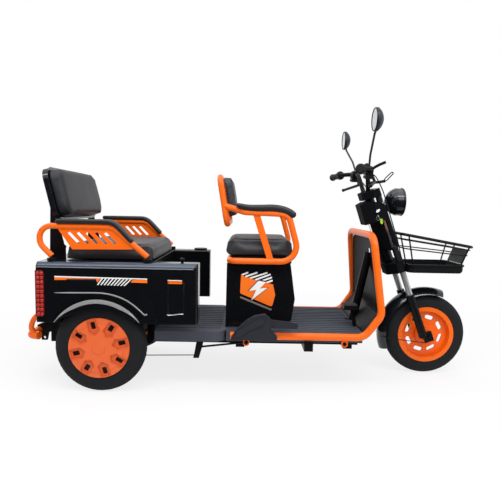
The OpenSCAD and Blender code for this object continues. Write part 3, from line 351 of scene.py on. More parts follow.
mirror_face = finish("mirror_face", (0.52, 0.54, 0.56), 0.03, metal=1, mottle=0.01, rough_range=0.01,
                     edge=0.5)
lens_glass = clear_glass()

DRESS = {
    orange_paint: ("hoop_frame", "seat_frame", "passenger_arms", "rear_bumper", "front_rim"),
    cap_paint: ("rear_rim_left", "rear_rim_right"),
    black_gloss: ("quarter_panels", "leg_panels", "rear_panel", "seat_base", "seat_box"),
    shell_edge: ("back_shell", "headlamp", "front_mudguard"),
    steer_black: ("head_shroud", "fork_yokes"),
    mirror_shell: ("mirrors",),
    black_steel: ("chassis", "head_tube", "box_pan", "rail_feet", "back_brackets", "bumper_bracket",
                  "brake_gear", "fork_legs", "handlebar", "basket", "leaf_springs"),
    black_plastic: ("leg_shield", "seat_pan", "controls", "basket_tray", "battery"),
    floor_plastic: ("front_floor", "rear_floor"),
    cover_plastic: ("handbrake",),
    leather: ("passenger_cushion", "driver_cushion", "driver_back_pad"),
    back_leather: ("back_pad",),
    pad_rubber: ("arm_pads",),
    grip_rubber: ("grips",),
    tyre_rubber: ("front_tyre", "rear_tyre_left", "rear_tyre_right"),
    silver_steel: ("fork_tubes",),
    cast_alloy: ("rear_axle",),
    lamp_dark: ("tail_lamps",),
    lens_glass: ("headlamp_lens",),
    mirror_face: ("mirror_glass",),
}
for skin, names in DRESS.items():
    for name in names:
        CAD[name].data.materials.clear()
        CAD[name].data.materials.append(skin)


# Tyres with a road tread

TREAD_SHARE = 0.52
BLOCKS = 44
STEPS_A_BLOCK = 9
GROOVE = 4.5
BEAD_SHARE = 0.62
BEAD_STEP = 4
CROWN_POWER = 0.86
WALL_POWER = 0.55
TREAD_HALF_SHARE = 0.82
GROOVE_LEAN = 2.2
SIDE_GROOVE_SHARES = (0.3, 0.92)
SIDE_GROOVE_WIDTH_SHARE = 0.26
MIDDLE_GROOVE_SHARES = (0.1, 0.2)
FRONT_BEAD = 137
REAR_BEAD = 131


def tyre_profile(radius, bead, half, count=30):
    """Radius and place across, from one bead to the other, over a round crown."""
    points = [(bead, -half * BEAD_SHARE)]
    for i in range(count + 1):
        a = math.pi * (i / count - 0.5)
        across = math.copysign(abs(math.sin(a)) ** CROWN_POWER, math.sin(a)) * half
        out = abs(math.cos(a)) ** WALL_POWER
        points.append((bead + BEAD_STEP + (radius - bead - BEAD_STEP) * out, across))
    points.append((bead, half * BEAD_SHARE))
    return points


def in_groove(share, turn):
    """Whether a point of the tread lies in a groove."""
    reach = abs(share)
    phase = (turn * BLOCKS + reach * GROOVE_LEAN + (0.5 if share > 0 else 0)) % 1
    if SIDE_GROOVE_SHARES[0] < reach < SIDE_GROOVE_SHARES[1]:
        return phase < SIDE_GROOVE_WIDTH_SHARE
    return MIDDLE_GROOVE_SHARES[0] < reach < MIDDLE_GROOVE_SHARES[1]


def tyre(node, body, bead):
    """A tyre with grooves, in place of its plain solid."""
    low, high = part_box(node)
    centre = (Vector(low) + Vector(high)) / 2
    radius = (high[2] - low[2]) / 2 / MM
    half = (high[1] - low[1]) / 2 / MM
    profile = tyre_profile(radius, bead, half)
    steps = BLOCKS * STEPS_A_BLOCK
    verts = []
    for r, across in profile:
        share = across / (half * TREAD_HALF_SHARE)
        on_tread = r > bead + (radius - bead) * TREAD_SHARE
        for i in range(steps):
            turn = i / steps
            cut = GROOVE if on_tread and in_groove(share, turn) else 0
            a = 2 * math.pi * turn
            verts.append(centre + Vector(((r - cut) * math.cos(a), across, (r - cut) * math.sin(a))) * MM)
    shape = Shape()
    shape.add(verts, ring_faces(len(profile), steps, True))
    piece = shape.piece(node + "_tread", tyre_rubber, body, 40)
    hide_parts(node)


tyre("front_tyre", "front_wheel", FRONT_BEAD)
tyre("rear_tyre_left", "rear_wheel_left", REAR_BEAD)
tyre("rear_tyre_right", "rear_wheel_right", REAR_BEAD)

# Hub caps: raised rims round the pockets, painted shade in the pockets, a plain boss and a dark back

CAP_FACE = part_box("rear_rim_left")[1][1] / MM
CAP_DEPTH = 17.5
POCKET_FROM = 3
POCKET_REACH_SHARES = (0.3, 0.97)
CAP_R = 133
CAP_TURN = 14
CAP_WINDOWS = 8
POCKET_SHARES = [(0.44, 0), (0.58, 0.185), (0.95, 0.15), (0.95, -0.15), (0.58, -0.185)]
RIM_BEAD_R = 1.8
BOSS_CAP = [(27.5, -4), (27.5, 0.6), (26.2, 1.8), (0.3, 2.2)]
BACK_RING = [(40, 0), (124, 0), (124, -1.5), (40, -1.5)]

for name, side in (("left", 1), ("right", -1)):
    face = at(0, side * CAP_FACE, AXLE_Z)
    beads = Shape()
    boss = Shape()
    for i in range(CAP_WINDOWS):
        turn = -side * math.radians(CAP_TURN + 360 / CAP_WINDOWS * i)
        out = AHEAD * math.cos(turn) + UP * math.sin(turn)
        beside = UP * math.cos(turn) - AHEAD * math.sin(turn)
        loop = [face + (out * u + beside * v) * CAP_R * MM for u, v in POCKET_SHARES]
        beads.tube(loop, RIM_BEAD_R, 8, LEFT, True)
    boss.turned(BOSS_CAP, face, 48, LEFT * side)
    beads.piece("cap_beads_" + name, cap_paint, "rear_wheel_" + name, 50)
    boss.piece("cap_boss_" + name, cap_paint, "rear_wheel_" + name, 40)
    back = Shape()
    inner = face - LEFT * side * CAP_DEPTH * MM
    back.turned(BACK_RING, inner, 64, LEFT * side, True)
    back.piece("cap_back_" + name, cable_black, "rear_wheel_" + name, 40)
    rim = CAD["rear_rim_" + name]
    # Pocket floors and walls take the darker orange of painted shade
    rim.data.materials.append(cap_pocket_painted_shade)
    for flat in rim.data.polygons:
        spot = rim.matrix_world @ flat.center
        depth = CAP_FACE - side * spot.y / MM
        share = math.hypot(spot.x - face.x, spot.z - face.z) / MM / CAP_R
        in_pocket = POCKET_REACH_SHARES[0] < share < POCKET_REACH_SHARES[1]
        if in_pocket and POCKET_FROM < depth < CAP_DEPTH:
            flat.material_index = 1

# Cushions, stuffed until their covers swell

VOXEL = 5
PRESSURE = 4
CLOTH_FRAMES = 20
CLOTH_SETTINGS = {
    "quality": 4,
    "mass": 0.25,
    "tension_stiffness": 18,
    "compression_stiffness": 18,
    "bending_stiffness": 1.5,
    "use_pressure": True,
    "uniform_pressure_force": PRESSURE,
}


def shrunk_copy(node, name, by):
    """A copy of a solid, smaller by a margin on every side."""
    source = CAD[node]
    mesh = source.data.copy()
    mesh.transform(source.matrix_world)
    low, high = (Vector(corner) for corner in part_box(node))
    middle = (low + high) / 2
    share = [1 - 2 * by * MM / (high[i] - low[i]) for i in range(3)]
    for vert in mesh.vertices:
        vert.co = middle + Vector([(vert.co[i] - middle[i]) * share[i] for i in range(3)])
    return new_object(name, mesh)


def only(piece):
    """Selects one piece alone."""
    bpy.ops.object.select_all(action="DESELECT")
    piece.select_set(True)
    bpy.context.view_layer.objects.active = piece


def swell(piece, seat, down, cap):
    """Blows the cover up with the base held, and keeps each point within a distance of where it was."""
    scene = bpy.context.scene
    start = [v.co.copy() for v in piece.data.vertices]
    held = piece.vertex_groups.new(name="held")
    held.add([i for i, p in enumerate(start) if (p - seat).dot(down) > -VOXEL * MM], 1, "REPLACE")
    cloth = piece.modifiers.new("cover", "CLOTH")
    for setting, value in CLOTH_SETTINGS.items():
        setattr(cloth.settings, setting, value)
    cloth.settings.effector_weights.gravity = 0
    cloth.settings.vertex_group_mass = "held"
    cloth.point_cache.frame_start = 1
    cloth.point_cache.frame_end = CLOTH_FRAMES
    for frame_number in range(1, CLOTH_FRAMES + 1):
        scene.frame_set(frame_number)
    blown = piece.evaluated_get(bpy.context.evaluated_depsgraph_get())
    moved = [v.co.copy() for v in blown.data.vertices]
    piece.modifiers.remove(cloth)
    for vert, before, after in zip(piece.data.vertices, start, moved):
        shift = after - before
        if shift.length > cap * MM:
            shift *= cap * MM / shift.length
        vert.co = before + shift
    scene.frame_set(1)
    piece.vertex_groups.clear()


def smooth(piece, rounds):
    """Evens the cover out."""
    shape = bmesh.new()
    shape.from_mesh(piece.data)
    for _ in range(rounds):
        bmesh.ops.smooth_vert(shape, verts=shape.verts, factor=0.5, use_axis_x=True, use_axis_y=True,
                              use_axis_z=True)
    shape.to_mesh(piece.data)
    shape.free()


def to_line(point, line):
    """How far a flat point lies from a closed line of flat points."""
    best = 1e9
    n = len(line)
    for i in range(n):
        ax, ay = line[i]
        bx, by = line[(i + 1) % n]
        dx, dy = bx - ax, by - ay
        size = dx * dx + dy * dy
        t = 0 if size == 0 else max(0, min(1, ((point[0] - ax) * dx + (point[1] - ay) * dy) / size))
        best = min(best, math.hypot(point[0] - ax - t * dx, point[1] - ay - t * dy))
    return best


SEAM_DEPTH = 3.2
SEAM_WIDTH = 5
SEAM_STEPS = 10
SEW_SHARE = 0.8
RISE_SLOPE = 1.5
PIPING_R = 2.1
RAY_FROM = 300


def cushion(node, body, up, across, along, seam_in, cap, crown, sew=(), shrink=4, seam_round=34, rounds=3,
            piped=True):
    """A stuffed cover on a solid's place, with a piped seam round its top panel and sewn lines across it."""
    low, high = (Vector(corner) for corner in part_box(node))
    middle = (low + high) / 2
    piece = shrunk_copy(node, node + "_cover", shrink)
    only(piece)
    piece.data.remesh_voxel_size = VOXEL * MM
    bpy.ops.object.voxel_remesh()
    reach = [max((v.co - middle).dot(axis) for v in piece.data.vertices) for axis in (across, along, up)]
    base = middle - up * reach[2]
    swell(piece, base, -up, cap)
    smooth(piece, rounds)
    half_u, half_v = (r / MM - seam_in for r in reach[:2])
    seam = soft_rect(2 * half_u, 2 * half_v, seam_round, SEAM_STEPS)
    for vert in piece.data.vertices:
        offset = vert.co - middle
        height = offset.dot(up)
        if height < 0:
            continue
        u, v = offset.dot(across) / MM, offset.dot(along) / MM
        rise = max(0, 1 - (u / (reach[0] / MM)) ** 2) * max(0, 1 - (v / (reach[1] / MM)) ** 2)
        depth = 0
        if piped:
            depth = SEAM_DEPTH * math.exp(-(to_line((u, v), seam) / SEAM_WIDTH) ** 2)
        for share in sew:
            if abs(u) < half_u:
                sewn = math.exp(-((v - share * half_v) / SEAM_WIDTH) ** 2)
                depth = max(depth, SEW_SHARE * SEAM_DEPTH * sewn)
        vert.co += up * (crown * math.sqrt(rise) - depth) * MM * min(1, height / reach[2] * RISE_SLOPE)
    finer = piece.modifiers.new("finer", "SUBSURF")
    finer.levels = 1
    finer.render_levels = 1
    bpy.ops.object.modifier_apply(modifier="finer")
    shade(piece, 80)
    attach(piece, body)
    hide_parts(node)
    if not piped:
        return
    points = [v.co for v in piece.data.vertices]
    tree = BVHTree.FromPolygons(points, [p.vertices for p in piece.data.polygons])
    path = []
    for u, v in seam:
        start = middle + across * u * MM + along * v * MM + up * RAY_FROM * MM
        hit = tree.ray_cast(start, -up)[0]
        if hit is not None:
            path.append(hit)
    piping = Shape()
    piping.tube(curve_through(path, 3, True), PIPING_R, 8, up, True)
    piping.piece(node + "_piping", thread, body, 60)


BACK_TILT = 13.4
BACK_OUT, BACK_UP = leaning(BACK_TILT)
LOOP_TILT = 9.5
LOOP_OUT, LOOP_UP = leaning(LOOP_TILT)

cushion("passenger_cushion", "chassis", UP, LEFT, AHEAD, seam_in=20, cap=7, crown=5, sew=(0,), seam_round=40)
cushion("back_pad", "chassis", BACK_OUT, LEFT, BACK_UP, seam_in=30, cap=8, crown=7, shrink=1, seam_round=44,
        rounds=12, piped=False)
cushion("driver_cushion", "seat_lid", UP, LEFT, AHEAD, seam_in=22, cap=6, crown=6, seam_round=44)
cushion("driver_back_pad", "chassis", LOOP_OUT, LEFT, LOOP_UP, seam_in=18, cap=5, crown=4, shrink=3,
        seam_round=26)

# Arm pads, moulded over the tubes

END_STEPS = 7
THIN_REACH_SHARE = 0.35
TIP_SHARE = 0.05


def soft_bar(line, width, height, radius, thin_share=1):
    """A moulded bar along a line, with rounded ends and a thinner start."""
    section = soft_rect(width * MM, height * MM, radius * MM, 4)
    reach = height / 2 * MM
    first = (line[1] - line[0]).normalized()
    last = (line[-1] - line[-2]).normalized()
    bends = [math.pi / 2 * i / END_STEPS for i in range(END_STEPS)]
    shares = [max(math.sin(bend), TIP_SHARE) for bend in bends]
    steps = [reach * (1 - math.cos(bend)) for bend in bends]
    head = [(line[0] + first * step, share) for step, share in zip(steps, shares)]
    tail = [(line[-1] - last * step, share) for step, share in zip(steps[::-1], shares[::-1])]
    body = [(p, 1) for p in line if (p - line[0]).length > reach and (p - line[-1]).length > reach]
    verts = []
    stations = head + body + tail
    count = len(stations)
    for i, (p, share) in enumerate(stations):
        ahead = stations[min(i + 1, count - 1)][0]
        behind = stations[max(i - 1, 0)][0]
        along = (ahead - behind).normalized()
        thin = 1 - (1 - thin_share) * max(0, 1 - i / count / THIN_REACH_SHARE)
        other = along.cross(LEFT) * thin
        for u, v in section:
            side_in = math.copysign(min(reach, abs(u)) * (1 - share), u)
            verts.append(p + LEFT * (u - side_in) + other * v * share)
    return verts, ring_faces(count, len(section))


DRIVER_PAD = [(582, 831), (606, 824), (636, 818.5), (668, 816.5), (704, 817), (738, 818.5), (770, 816.5),
              (798, 810.5), (820, 801.5), (836, 791), (847, 779)]
DRIVER_PAD_Y = 232
PASSENGER_PAD = [(-185, 746.5), (-120, 747), (-40, 747), (10, 747), (44, 745.5), (70, 735), (94, 713),
                 (120, 685.5), (143, 661)]
PASSENGER_PAD_Y = 330
PAD_WIDTH = 40
PAD_HEIGHT = 20.5
PAD_ROUND = 8
DRIVER_PAD_HEIGHT = 32
DRIVER_PAD_ROUND = 13
DRIVER_PAD_THIN_SHARE = 0.6

pads = Shape()
for side in SIDES:
    line = curve_through([at(x, side * DRIVER_PAD_Y, z) for x, z in DRIVER_PAD], 6)
    pads.add(*soft_bar(line, PAD_WIDTH, DRIVER_PAD_HEIGHT, DRIVER_PAD_ROUND, DRIVER_PAD_THIN_SHARE))
    line = curve_through([at(x, side * PASSENGER_PAD_Y, z) for x, z in PASSENGER_PAD], 6)
    pads.add(*soft_bar(line, PAD_WIDTH, PAD_HEIGHT, PAD_ROUND))
arm_covers = pads.piece("arm_pad_covers", pad_rubber, "chassis", 60)
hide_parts("arm_pads")

# Handlebar grips with moulded rings

GRIP_IN = (1136, 224, 1000)
GRIP_END = (1108, 340, 993)
GRIP_FROM_SHARE = 0.1
GRIP_R = 16.5
FLANGE_R = 23
END_R = 19
BAR_R = 11
RIB_STEP = 5.2
RIBS_FROM = 15
RIBS_END = 14
FLANGE = [(BAR_R, 0), (FLANGE_R, 0), (FLANGE_R, 9), (FLANGE_R - 1.5, 11), (GRIP_R - 2, 12)]
RIB = [(GRIP_R - 2.3, 0), (GRIP_R - 0.6, 1.2), (GRIP_R - 0.6, 3.2)]
GRIP_TAIL = [(GRIP_R - 1, -9), (END_R, -8), (END_R, -3), (END_R - 3, 0), (2, 0)]

grips = Shape()
for side in SIDES:
    inner = at(GRIP_IN[0], side * GRIP_IN[1], GRIP_IN[2])
    outer = at(GRIP_END[0], side * GRIP_END[1], GRIP_END[2])
    start = inner.lerp(outer, GRIP_FROM_SHARE)
    span = (outer - start).length / MM
    profile = list(FLANGE)
    reach = RIBS_FROM
    while reach < span - RIBS_END:
        profile.extend((r, reach + a) for r, a in RIB)
        reach += RIB_STEP
    profile.extend((r, span + a) for r, a in GRIP_TAIL)
    grips.turned(profile, start, 28, outer - start)
grip_covers = grips.piece("grip_covers", grip_rubber, "steering", 40)
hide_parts("grips")

# Stripes and trim of the box

WALL_Y = 365
FILM = 0.5


def film(shape, outlines, y, side, proud=FILM):
    """Flat shapes laid on a wall that faces sideways."""
    for outline in outlines:
        shape.add(*side_slab(outline, side * y, side * (y + proud)))


STRIPE_WHITE = [[(-183, 514.3), (212, 509.8), (212, 505.4), (-183, 509)]]
STRIPE_ORANGE = [
    [(-183, 508.6), (-183, 497.2), (-134, 498.1), (-127.5, 502.4), (-127.5, 508)],
    [(-127.5, 508), (-127.5, 502.4), (-7, 504.4), (-7, 506.6)],
    [(-7, 506.6), (-7, 504.4), (-1.4, 489), (12.4, 504.9), (13.5, 506.5)],
    [(150, 504), (142, 491.4), (212, 490.4), (212, 504.8)],
]
STRIPE_GREY = [[(-126, 501.4), (-12, 503.4), (-10, 499.4), (-118, 497.4)]]
HATCH_COUNT = 9
HATCH_TOP = ((17.3, 507.2), (139.4, 505.4))
HATCH_FOOT = ((-2.5, 479), (109.9, 476.1))
HATCH_WIDTH = 6.6


def hatch_bars():
    """Slanting bars between two lines."""
    bars = []
    for i in range(HATCH_COUNT):
        t = i / (HATCH_COUNT - 1)
        tx, tz = (a + (b - a) * t for a, b in zip(*HATCH_TOP))
        fx, fz = (a + (b - a) * t for a, b in zip(*HATCH_FOOT))
        bars.append([(tx, tz), (fx, fz), (fx + HATCH_WIDTH, fz), (tx + HATCH_WIDTH, tz)])
    return bars


PANEL_WHITE = [
    [(299, 505.5), (360, 504.8), (360, 501.8), (299, 502.4)],
    [(297, 357), (301, 354.5), (369, 361), (369, 357.5), (302, 350.5), (297, 353)],
]
PANEL_ORANGE = [[(299, 502), (360, 501.4), (360, 488.6), (299, 489)]]
films = {mat: Shape() for mat in (white_vinyl, orange_vinyl, dark_vinyl, silver_vinyl)}
for side in SIDES:
    film(films[white_vinyl], STRIPE_WHITE + hatch_bars() + PANEL_WHITE, WALL_Y, side)
    film(films[orange_vinyl], STRIPE_ORANGE + PANEL_ORANGE, WALL_Y, side)
    film(films[dark_vinyl], STRIPE_GREY, WALL_Y, side)

BEAD = [(-187, 441.7), (-100, 443), (-11, 444.1), (25, 442.4), (70, 434), (119, 415), (162, 385.8),
        (197, 354), (203, 352), (212, 355)]
BEAD_R = 3.4
BEAD_SIDES = 10
BEAD_TAPER_SHARE = 0.12
BEAD_TIP_SHARE = 0.15
LIP_R = (201, 218)
LIP_FROM = 34
LIP_TO = 147
LIP_STEPS = 60
LIP_Y = (380.2, 383.5)
LIP_SINK = 2
LIP_THIN = 2
LIP_SLOPE = 3
LIP_ROUND = 1.5
LIP_FADE_SHARE = 0.25
EMBOSS = [(301, 497), (301, 356), (368, 356), (368, 497)]
EMBOSS_R = 1.6
SEAM_X = 252
SEAM_Z = (316, 546)
SEAM_R = 1.3

trim = Shape()
ridges = Shape()
for side in SIDES:
    line = curve_through([at(x, side * WALL_Y, z) for x, z in BEAD], 8)
    n = len(line)
    verts, faces = sweep(line, circle(1, BEAD_SIDES), LEFT)
    for i in range(n):
        share = min(1, math.sqrt(i / n / BEAD_TAPER_SHARE) + BEAD_TIP_SHARE)
        for j in range(BEAD_SIDES):
            k = i * BEAD_SIDES + j
            verts[k] = line[i] + (verts[k] - line[i]) * BEAD_R * MM * share
    trim.add(verts, faces)
    lip = []
    for i in range(LIP_STEPS + 1):
        turn = math.radians(LIP_FROM + (LIP_TO - LIP_FROM) * i / LIP_STEPS)
        ends = min(1, i / LIP_STEPS / LIP_FADE_SHARE, (1 - i / LIP_STEPS) / LIP_FADE_SHARE)
        inner_r = LIP_R[1] - LIP_THIN - (LIP_R[1] - LIP_R[0] - LIP_THIN) * ends
        section = [(LIP_R[1], LIP_Y[0] - LIP_SINK), (LIP_R[1], LIP_Y[0]), (inner_r + LIP_SLOPE, LIP_Y[1]),
                   (inner_r, LIP_Y[1] - LIP_ROUND), (inner_r, LIP_Y[0] - LIP_SINK)]
        for r, y in section:
            lip.append(at(r * math.cos(turn), side * y, AXLE_Z + r * math.sin(turn)))
    trim.add(lip, ring_faces(LIP_STEPS + 1, len(section)))
    ridge = [at(x, side * WALL_Y, z) for x, z in EMBOSS]
    ridges.tube(ridge, EMBOSS_R, 8, LEFT, True)
    seam = [at(SEAM_X, side * WALL_Y, z) for z in SEAM_Z]
    ridges.tube(seam, SEAM_R, 8, LEFT)
trim.piece("box_trim", trim_grey, "chassis", 50)
ridges.piece("panel_ridges", black_gloss, "chassis", 50)

# Painted sky reflection: a thin blue-grey band over the walls' rounded upper edges, with a pale line below it

RAIL_X = (-258, 408)
RAIL_SLANT = 16
RAIL_AT = (339, 548)
RAIL_R = (25.8, 26.7)
RAIL_STEPS = 10
RAIL_TURN = (8, 88)
LINE_R = 1.4

rail = Shape()
lines = Shape()
for side in SIDES:
    verts = []
    for end, x in enumerate(RAIL_X):
        for r, order in ((RAIL_R[1], 1), (RAIL_R[0], -1)):
            for i in range(RAIL_STEPS + 1)[::order]:
                turn = math.radians(RAIL_TURN[0] + (RAIL_TURN[1] - RAIL_TURN[0]) * i / RAIL_STEPS)
                slant = RAIL_SLANT * i / RAIL_STEPS if end else 0
                y = side * (RAIL_AT[0] + r * math.cos(turn))
                verts.append(at(x + slant, y, RAIL_AT[1] + r * math.sin(turn)))
    rail.add(verts, ring_faces(2, 2 * RAIL_STEPS + 2))
    turn = math.radians(RAIL_TURN[0])
    y = side * (RAIL_AT[0] + RAIL_R[1] * math.cos(turn))
    z = RAIL_AT[1] + RAIL_R[1] * math.sin(turn)
    lines.tube([at(x, y, z) for x in RAIL_X], LINE_R, 8, LEFT)
# The band's blue-grey is a painted reflection of the sky
rail.piece("wall_rail_painted_reflection", rail_painted_reflection, "chassis", 60)
lines.piece("rail_lines", trim_grey, "chassis", 60)

# Turned-up ends of the bumper

POST = [(-320, 258, 232), (-330, 268, 262), (-318, 272, 300), (-290, 272, 330)]
POST_R = 12
posts = Shape()
for side in SIDES:
    line = curve_through([at(x, side * y, z) for x, y, z in POST], 8)
    posts.tube(line, POST_R, 18, LEFT)
posts.piece("bumper_posts", orange_paint, "chassis", 50)

# Sign on the seat base: hatch, a bolt and a bar

BASE_Y = abs(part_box("seat_base")[0][1]) / MM
SIGN = [(609, 513), (605.6, 429.4), (609, 423), (615.5, 419.7), (743, 367), (752, 366), (757.4, 374),
        (767.7, 419.2), (762.3, 445.3), (756.9, 468), (724, 476), (697, 482), (668, 489), (645, 496),
        (625, 503)]
SIGN_HATCH = [((611, 513), (640, 525)), ((627, 505), (683, 525.5)), ((648, 498), (729, 525.5)),
              ((672, 490.5), (744, 518)), ((697, 484), (750, 504)), ((724, 479), (753.5, 490))]
SIGN_BAR_W = 7.5
BOLT = [(690, 484), (646, 436), (680, 441), (658, 392), (732, 452), (696, 448), (724, 478)]
BOLT_MIDDLE = (690, 440)
BOLT_RIM_SHARE = 1.14
SIGN_LINE = [[(606, 409.7), (612, 409), (753.5, 352.5), (752, 346.5), (744, 347.5), (606.5, 402)]]


def slanted(p, q, width):
    """A bar of a width below a line."""
    dx, dz = q[0] - p[0], q[1] - p[1]
    size = math.hypot(dx, dz)
    nx, nz = dz / size * width, -dx / size * width
    return [p, q, (q[0] + nx, q[1] + nz), (p[0] + nx, p[1] + nz)]


def grown(outline, middle, share):
    """An outline made larger about its middle."""
    mx, mz = middle
    return [(mx + (x - mx) * share, mz + (z - mz) * share) for x, z in outline]


for side in SIDES:
    film(films[orange_vinyl], [SIGN], BASE_Y, side)
    film(films[white_vinyl], [slanted(p, q, SIGN_BAR_W) for p, q in SIGN_HATCH], BASE_Y, side)
    film(films[dark_vinyl], [grown(BOLT, BOLT_MIDDLE, BOLT_RIM_SHARE)], BASE_Y, side, 2 * FILM)
    film(films[white_vinyl], [BOLT], BASE_Y, side, 3 * FILM)
    film(films[silver_vinyl], SIGN_LINE, BASE_Y, side)
for mat, shape in films.items():
    shape.piece("film_" + mat.name, mat, "chassis", 20)

# Tail lamp cells

LAMP_ROWS = 10
LAMP_LOW = 349
LAMP_STEP = 19.6
LAMP_COLUMNS = (-253.5, -237.5)
LAMP_REAR_COLUMNS = (332, 348)
CELL = [(7.4, -1), (7.4, 0.8), (6.4, 2.2), (4, 3), (0.4, 3.4)]
LAMP_FACE_Y = max(abs(corner[1]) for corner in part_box("tail_lamps")) / MM
LAMP_FACE_X = (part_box("tail_lamps")[0][0] - AXLE_X) / MM

cells = Shape()
for side in SIDES:
    for row in range(LAMP_ROWS):
        z = LAMP_LOW + row * LAMP_STEP
        for x in LAMP_COLUMNS:
            cells.turned(CELL, at(x, side * LAMP_FACE_Y, z), 14, LEFT * side)
        for y in LAMP_REAR_COLUMNS:
            cells.turned(CELL, at(LAMP_FACE_X, side * y, z), 14, -AHEAD)
cells.piece("tail_lamp_cells", lamp_red, "chassis", 60)

# Handbrake cover relief

COVER_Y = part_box("handbrake")[0][1] / MM
COVER_PANEL = [(582, 253), (602, 281), (641, 306.7), (683, 331), (697, 336), (711, 333), (720, 321),
               (702, 304.6), (647, 281.7), (605, 253)]
COVER_RIM = [(574, 242), (574, 252), (600, 290), (640, 328), (671, 346), (716, 354), (738, 340), (750, 315),
             (745, 285), (773, 256)]
COVER_RISE = 5
COVER_SINK = 1
COVER_RIM_R = 2.6

cover = Shape()
cover.add(*side_slab(COVER_PANEL, COVER_Y + COVER_SINK, COVER_Y - COVER_RISE))
rim = curve_through([at(x, COVER_Y, z) for x, z in COVER_RIM], 5)
cover.tube(rim, COVER_RIM_R, 10, LEFT)
cover.piece("handbrake_relief", cover_plastic, "chassis", 40)

# Bolts and nuts

HEX_SHARES = ((1.45, 0), (1.45, 0.18), (1, 0.2), (1, 0.72), (0.86, 0.9), (0.1, 0.9))
HEX_SIDES = 6


def bolt(shape, place, axis, radius):
    """A hexagon head on a washer."""
    profile = [(r * radius, a * radius) for r, a in HEX_SHARES]
    shape.turned(profile, place, HEX_SIDES * 2, axis)


BRACKET_BOLTS = [(-143, 597), (-160, 590)]
BRACKET_Y = 256
BRACKET_BOLT_R = 5
LUG_PINS = [(638, 218), (1078, 218)]
LUG_Y = 295
LUG_PIN_R = 6.5

steel = Shape()
for side in SIDES:
    for x, z in BRACKET_BOLTS:
        bolt(steel, at(x, side * BRACKET_Y, z), LEFT * side, BRACKET_BOLT_R)
steel.piece("frame_bolts", zinc, "chassis", 30)
pins = Shape()
for x, z in LUG_PINS:
    bolt(pins, at(x, -LUG_Y, z), -LEFT, LUG_PIN_R)
pins.piece("lug_pins", black_steel, "chassis", 30)

# Steering axis

STEER_AT = at(1350, 0, 535)
RAKE = 20.14
STEER_AHEAD, STEER_UP = leaning(RAKE)


def steered(a, b, s):
    """A place ahead of, left of and up the steering axis."""
    return STEER_AT + (STEER_AHEAD * a + LEFT * b + STEER_UP * s) * MM


# Dust sleeves on the fork tubes

SLEEVE_R = (14.3, 15.4)
SLEEVES = [(25, 105), (326, 358)]
FORK_AT = (35, 75)

sleeves = Shape()
for side in SIDES:
    foot = steered(FORK_AT[0], side * FORK_AT[1], 0)
    inner_r, outer_r = SLEEVE_R
    for low, high in SLEEVES:
        wall = [(inner_r, low), (outer_r, low), (outer_r, high), (inner_r, high)]
        sleeves.turned(wall, foot, 28, STEER_UP, True)
sleeves.piece("fork_sleeves", grip_rubber, "steering", 40)

# Lock, key, ring and tag on the shroud

KEY_AT = (8, -87, 268)
KEY_OUT = (STEER_AHEAD * -0.58 - LEFT * 0.81).normalized()
LOCK = [(9.5, -4), (9.5, 1.5), (8.5, 2.6), (6, 2.6), (5.6, 1.8), (0.3, 1.8)]
KEY_STEM = [(2.4, 1), (2.4, 12)]
KEY_BOW = [(9, -1.6), (10, 0), (9, 1.6)]
BOW_OUT = 17
KEY_RING_R = 9
KEY_WIRE_R = 0.9
KEY_RING_STEPS = 20
TAG = [(9, -10), (21, -10), (24, -30), (22, -34), (15, -34), (12, -30)]
TAG_T = 1.6

key = Shape()
place = steered(*KEY_AT)
key.turned(LOCK, place, 24, KEY_OUT)
key.turned(KEY_STEM, place, 12, KEY_OUT)
bow = place + KEY_OUT * BOW_OUT * MM
key.turned(KEY_BOW, bow, 20, STEER_AHEAD)
key.piece("ignition_key", zinc, "steering", 40)

loop = []
for turn in turns(KEY_RING_STEPS):
    loop.append(bow + (AHEAD * math.sin(turn) - UP * (1 - math.cos(turn))) * KEY_RING_R * MM)
ring = Shape()
ring.tube(loop, KEY_WIRE_R, 8, LEFT, True)
ring.piece("key_ring", zinc, "steering", 60)

tag = Shape()
verts = [bow + AHEAD * x * MM + UP * z * MM - LEFT * t * MM for t in (0, TAG_T) for x, z in TAG]
tag.add(verts, ring_faces(2, len(TAG)))
tag.piece("key_tag", tag_green, "steering", 30)

# Dark rings round the mirror glasses

GLASS_LOW, GLASS_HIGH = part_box("mirror_glass")
GLASS_HALF = (GLASS_HIGH[2] - GLASS_LOW[2]) / 2
GLASS_Z = (GLASS_HIGH[2] + GLASS_LOW[2]) / 2
GLASS_Y = GLASS_HIGH[1] - GLASS_HALF
GLASS_RING_R = 2.4
GLASS_RING_STEPS = 48

rings = Shape()
for side in SIDES:
    ring = []
    middle = Vector((GLASS_LOW[0], side * GLASS_Y, GLASS_Z))
    for turn in turns(GLASS_RING_STEPS):
        ring.append(middle + (LEFT * math.cos(turn) + UP * math.sin(turn)) * GLASS_HALF)
    rings.tube(ring, GLASS_RING_R, 10, AHEAD, True)
rings.piece("mirror_rings", cable_black, "steering", 60)

# Wire stays of the front mudguard

STAY = [(1520, 84, 171), (1430, 74, 178), (1350, 62, 186), (1309, 52, 191)]
STAY_R = 2

stays = Shape()
for side in SIDES:
    line = curve_through([at(x, side * y, z) for x, y, z in STAY])
    stays.tube(line, STAY_R, 10, UP)
stays.piece("guard_stays", black_steel, "steering", 40)

# Bag hook on the right riser and the short lever beside its grip

HOOK_ARM = [(1212, -72, 946), (1240, -69, 949), (1266, -66, 952), (1292, -62, 957)]
HOOK_ARM_R = 7
HOOK_LOOP = [(1289, 958), (1300, 960), (1314, 975), (1328, 991), (1329, 998), (1321, 998), (1306, 984),
             (1292, 969)]
HOOK_Y = -62
HOOK_R = 2.6
SHORT_LEVER = [(1200, -186, 1006), (1222, -198, 1020), (1250, -212, 1033)]
SHORT_LEVER_R = 6.5

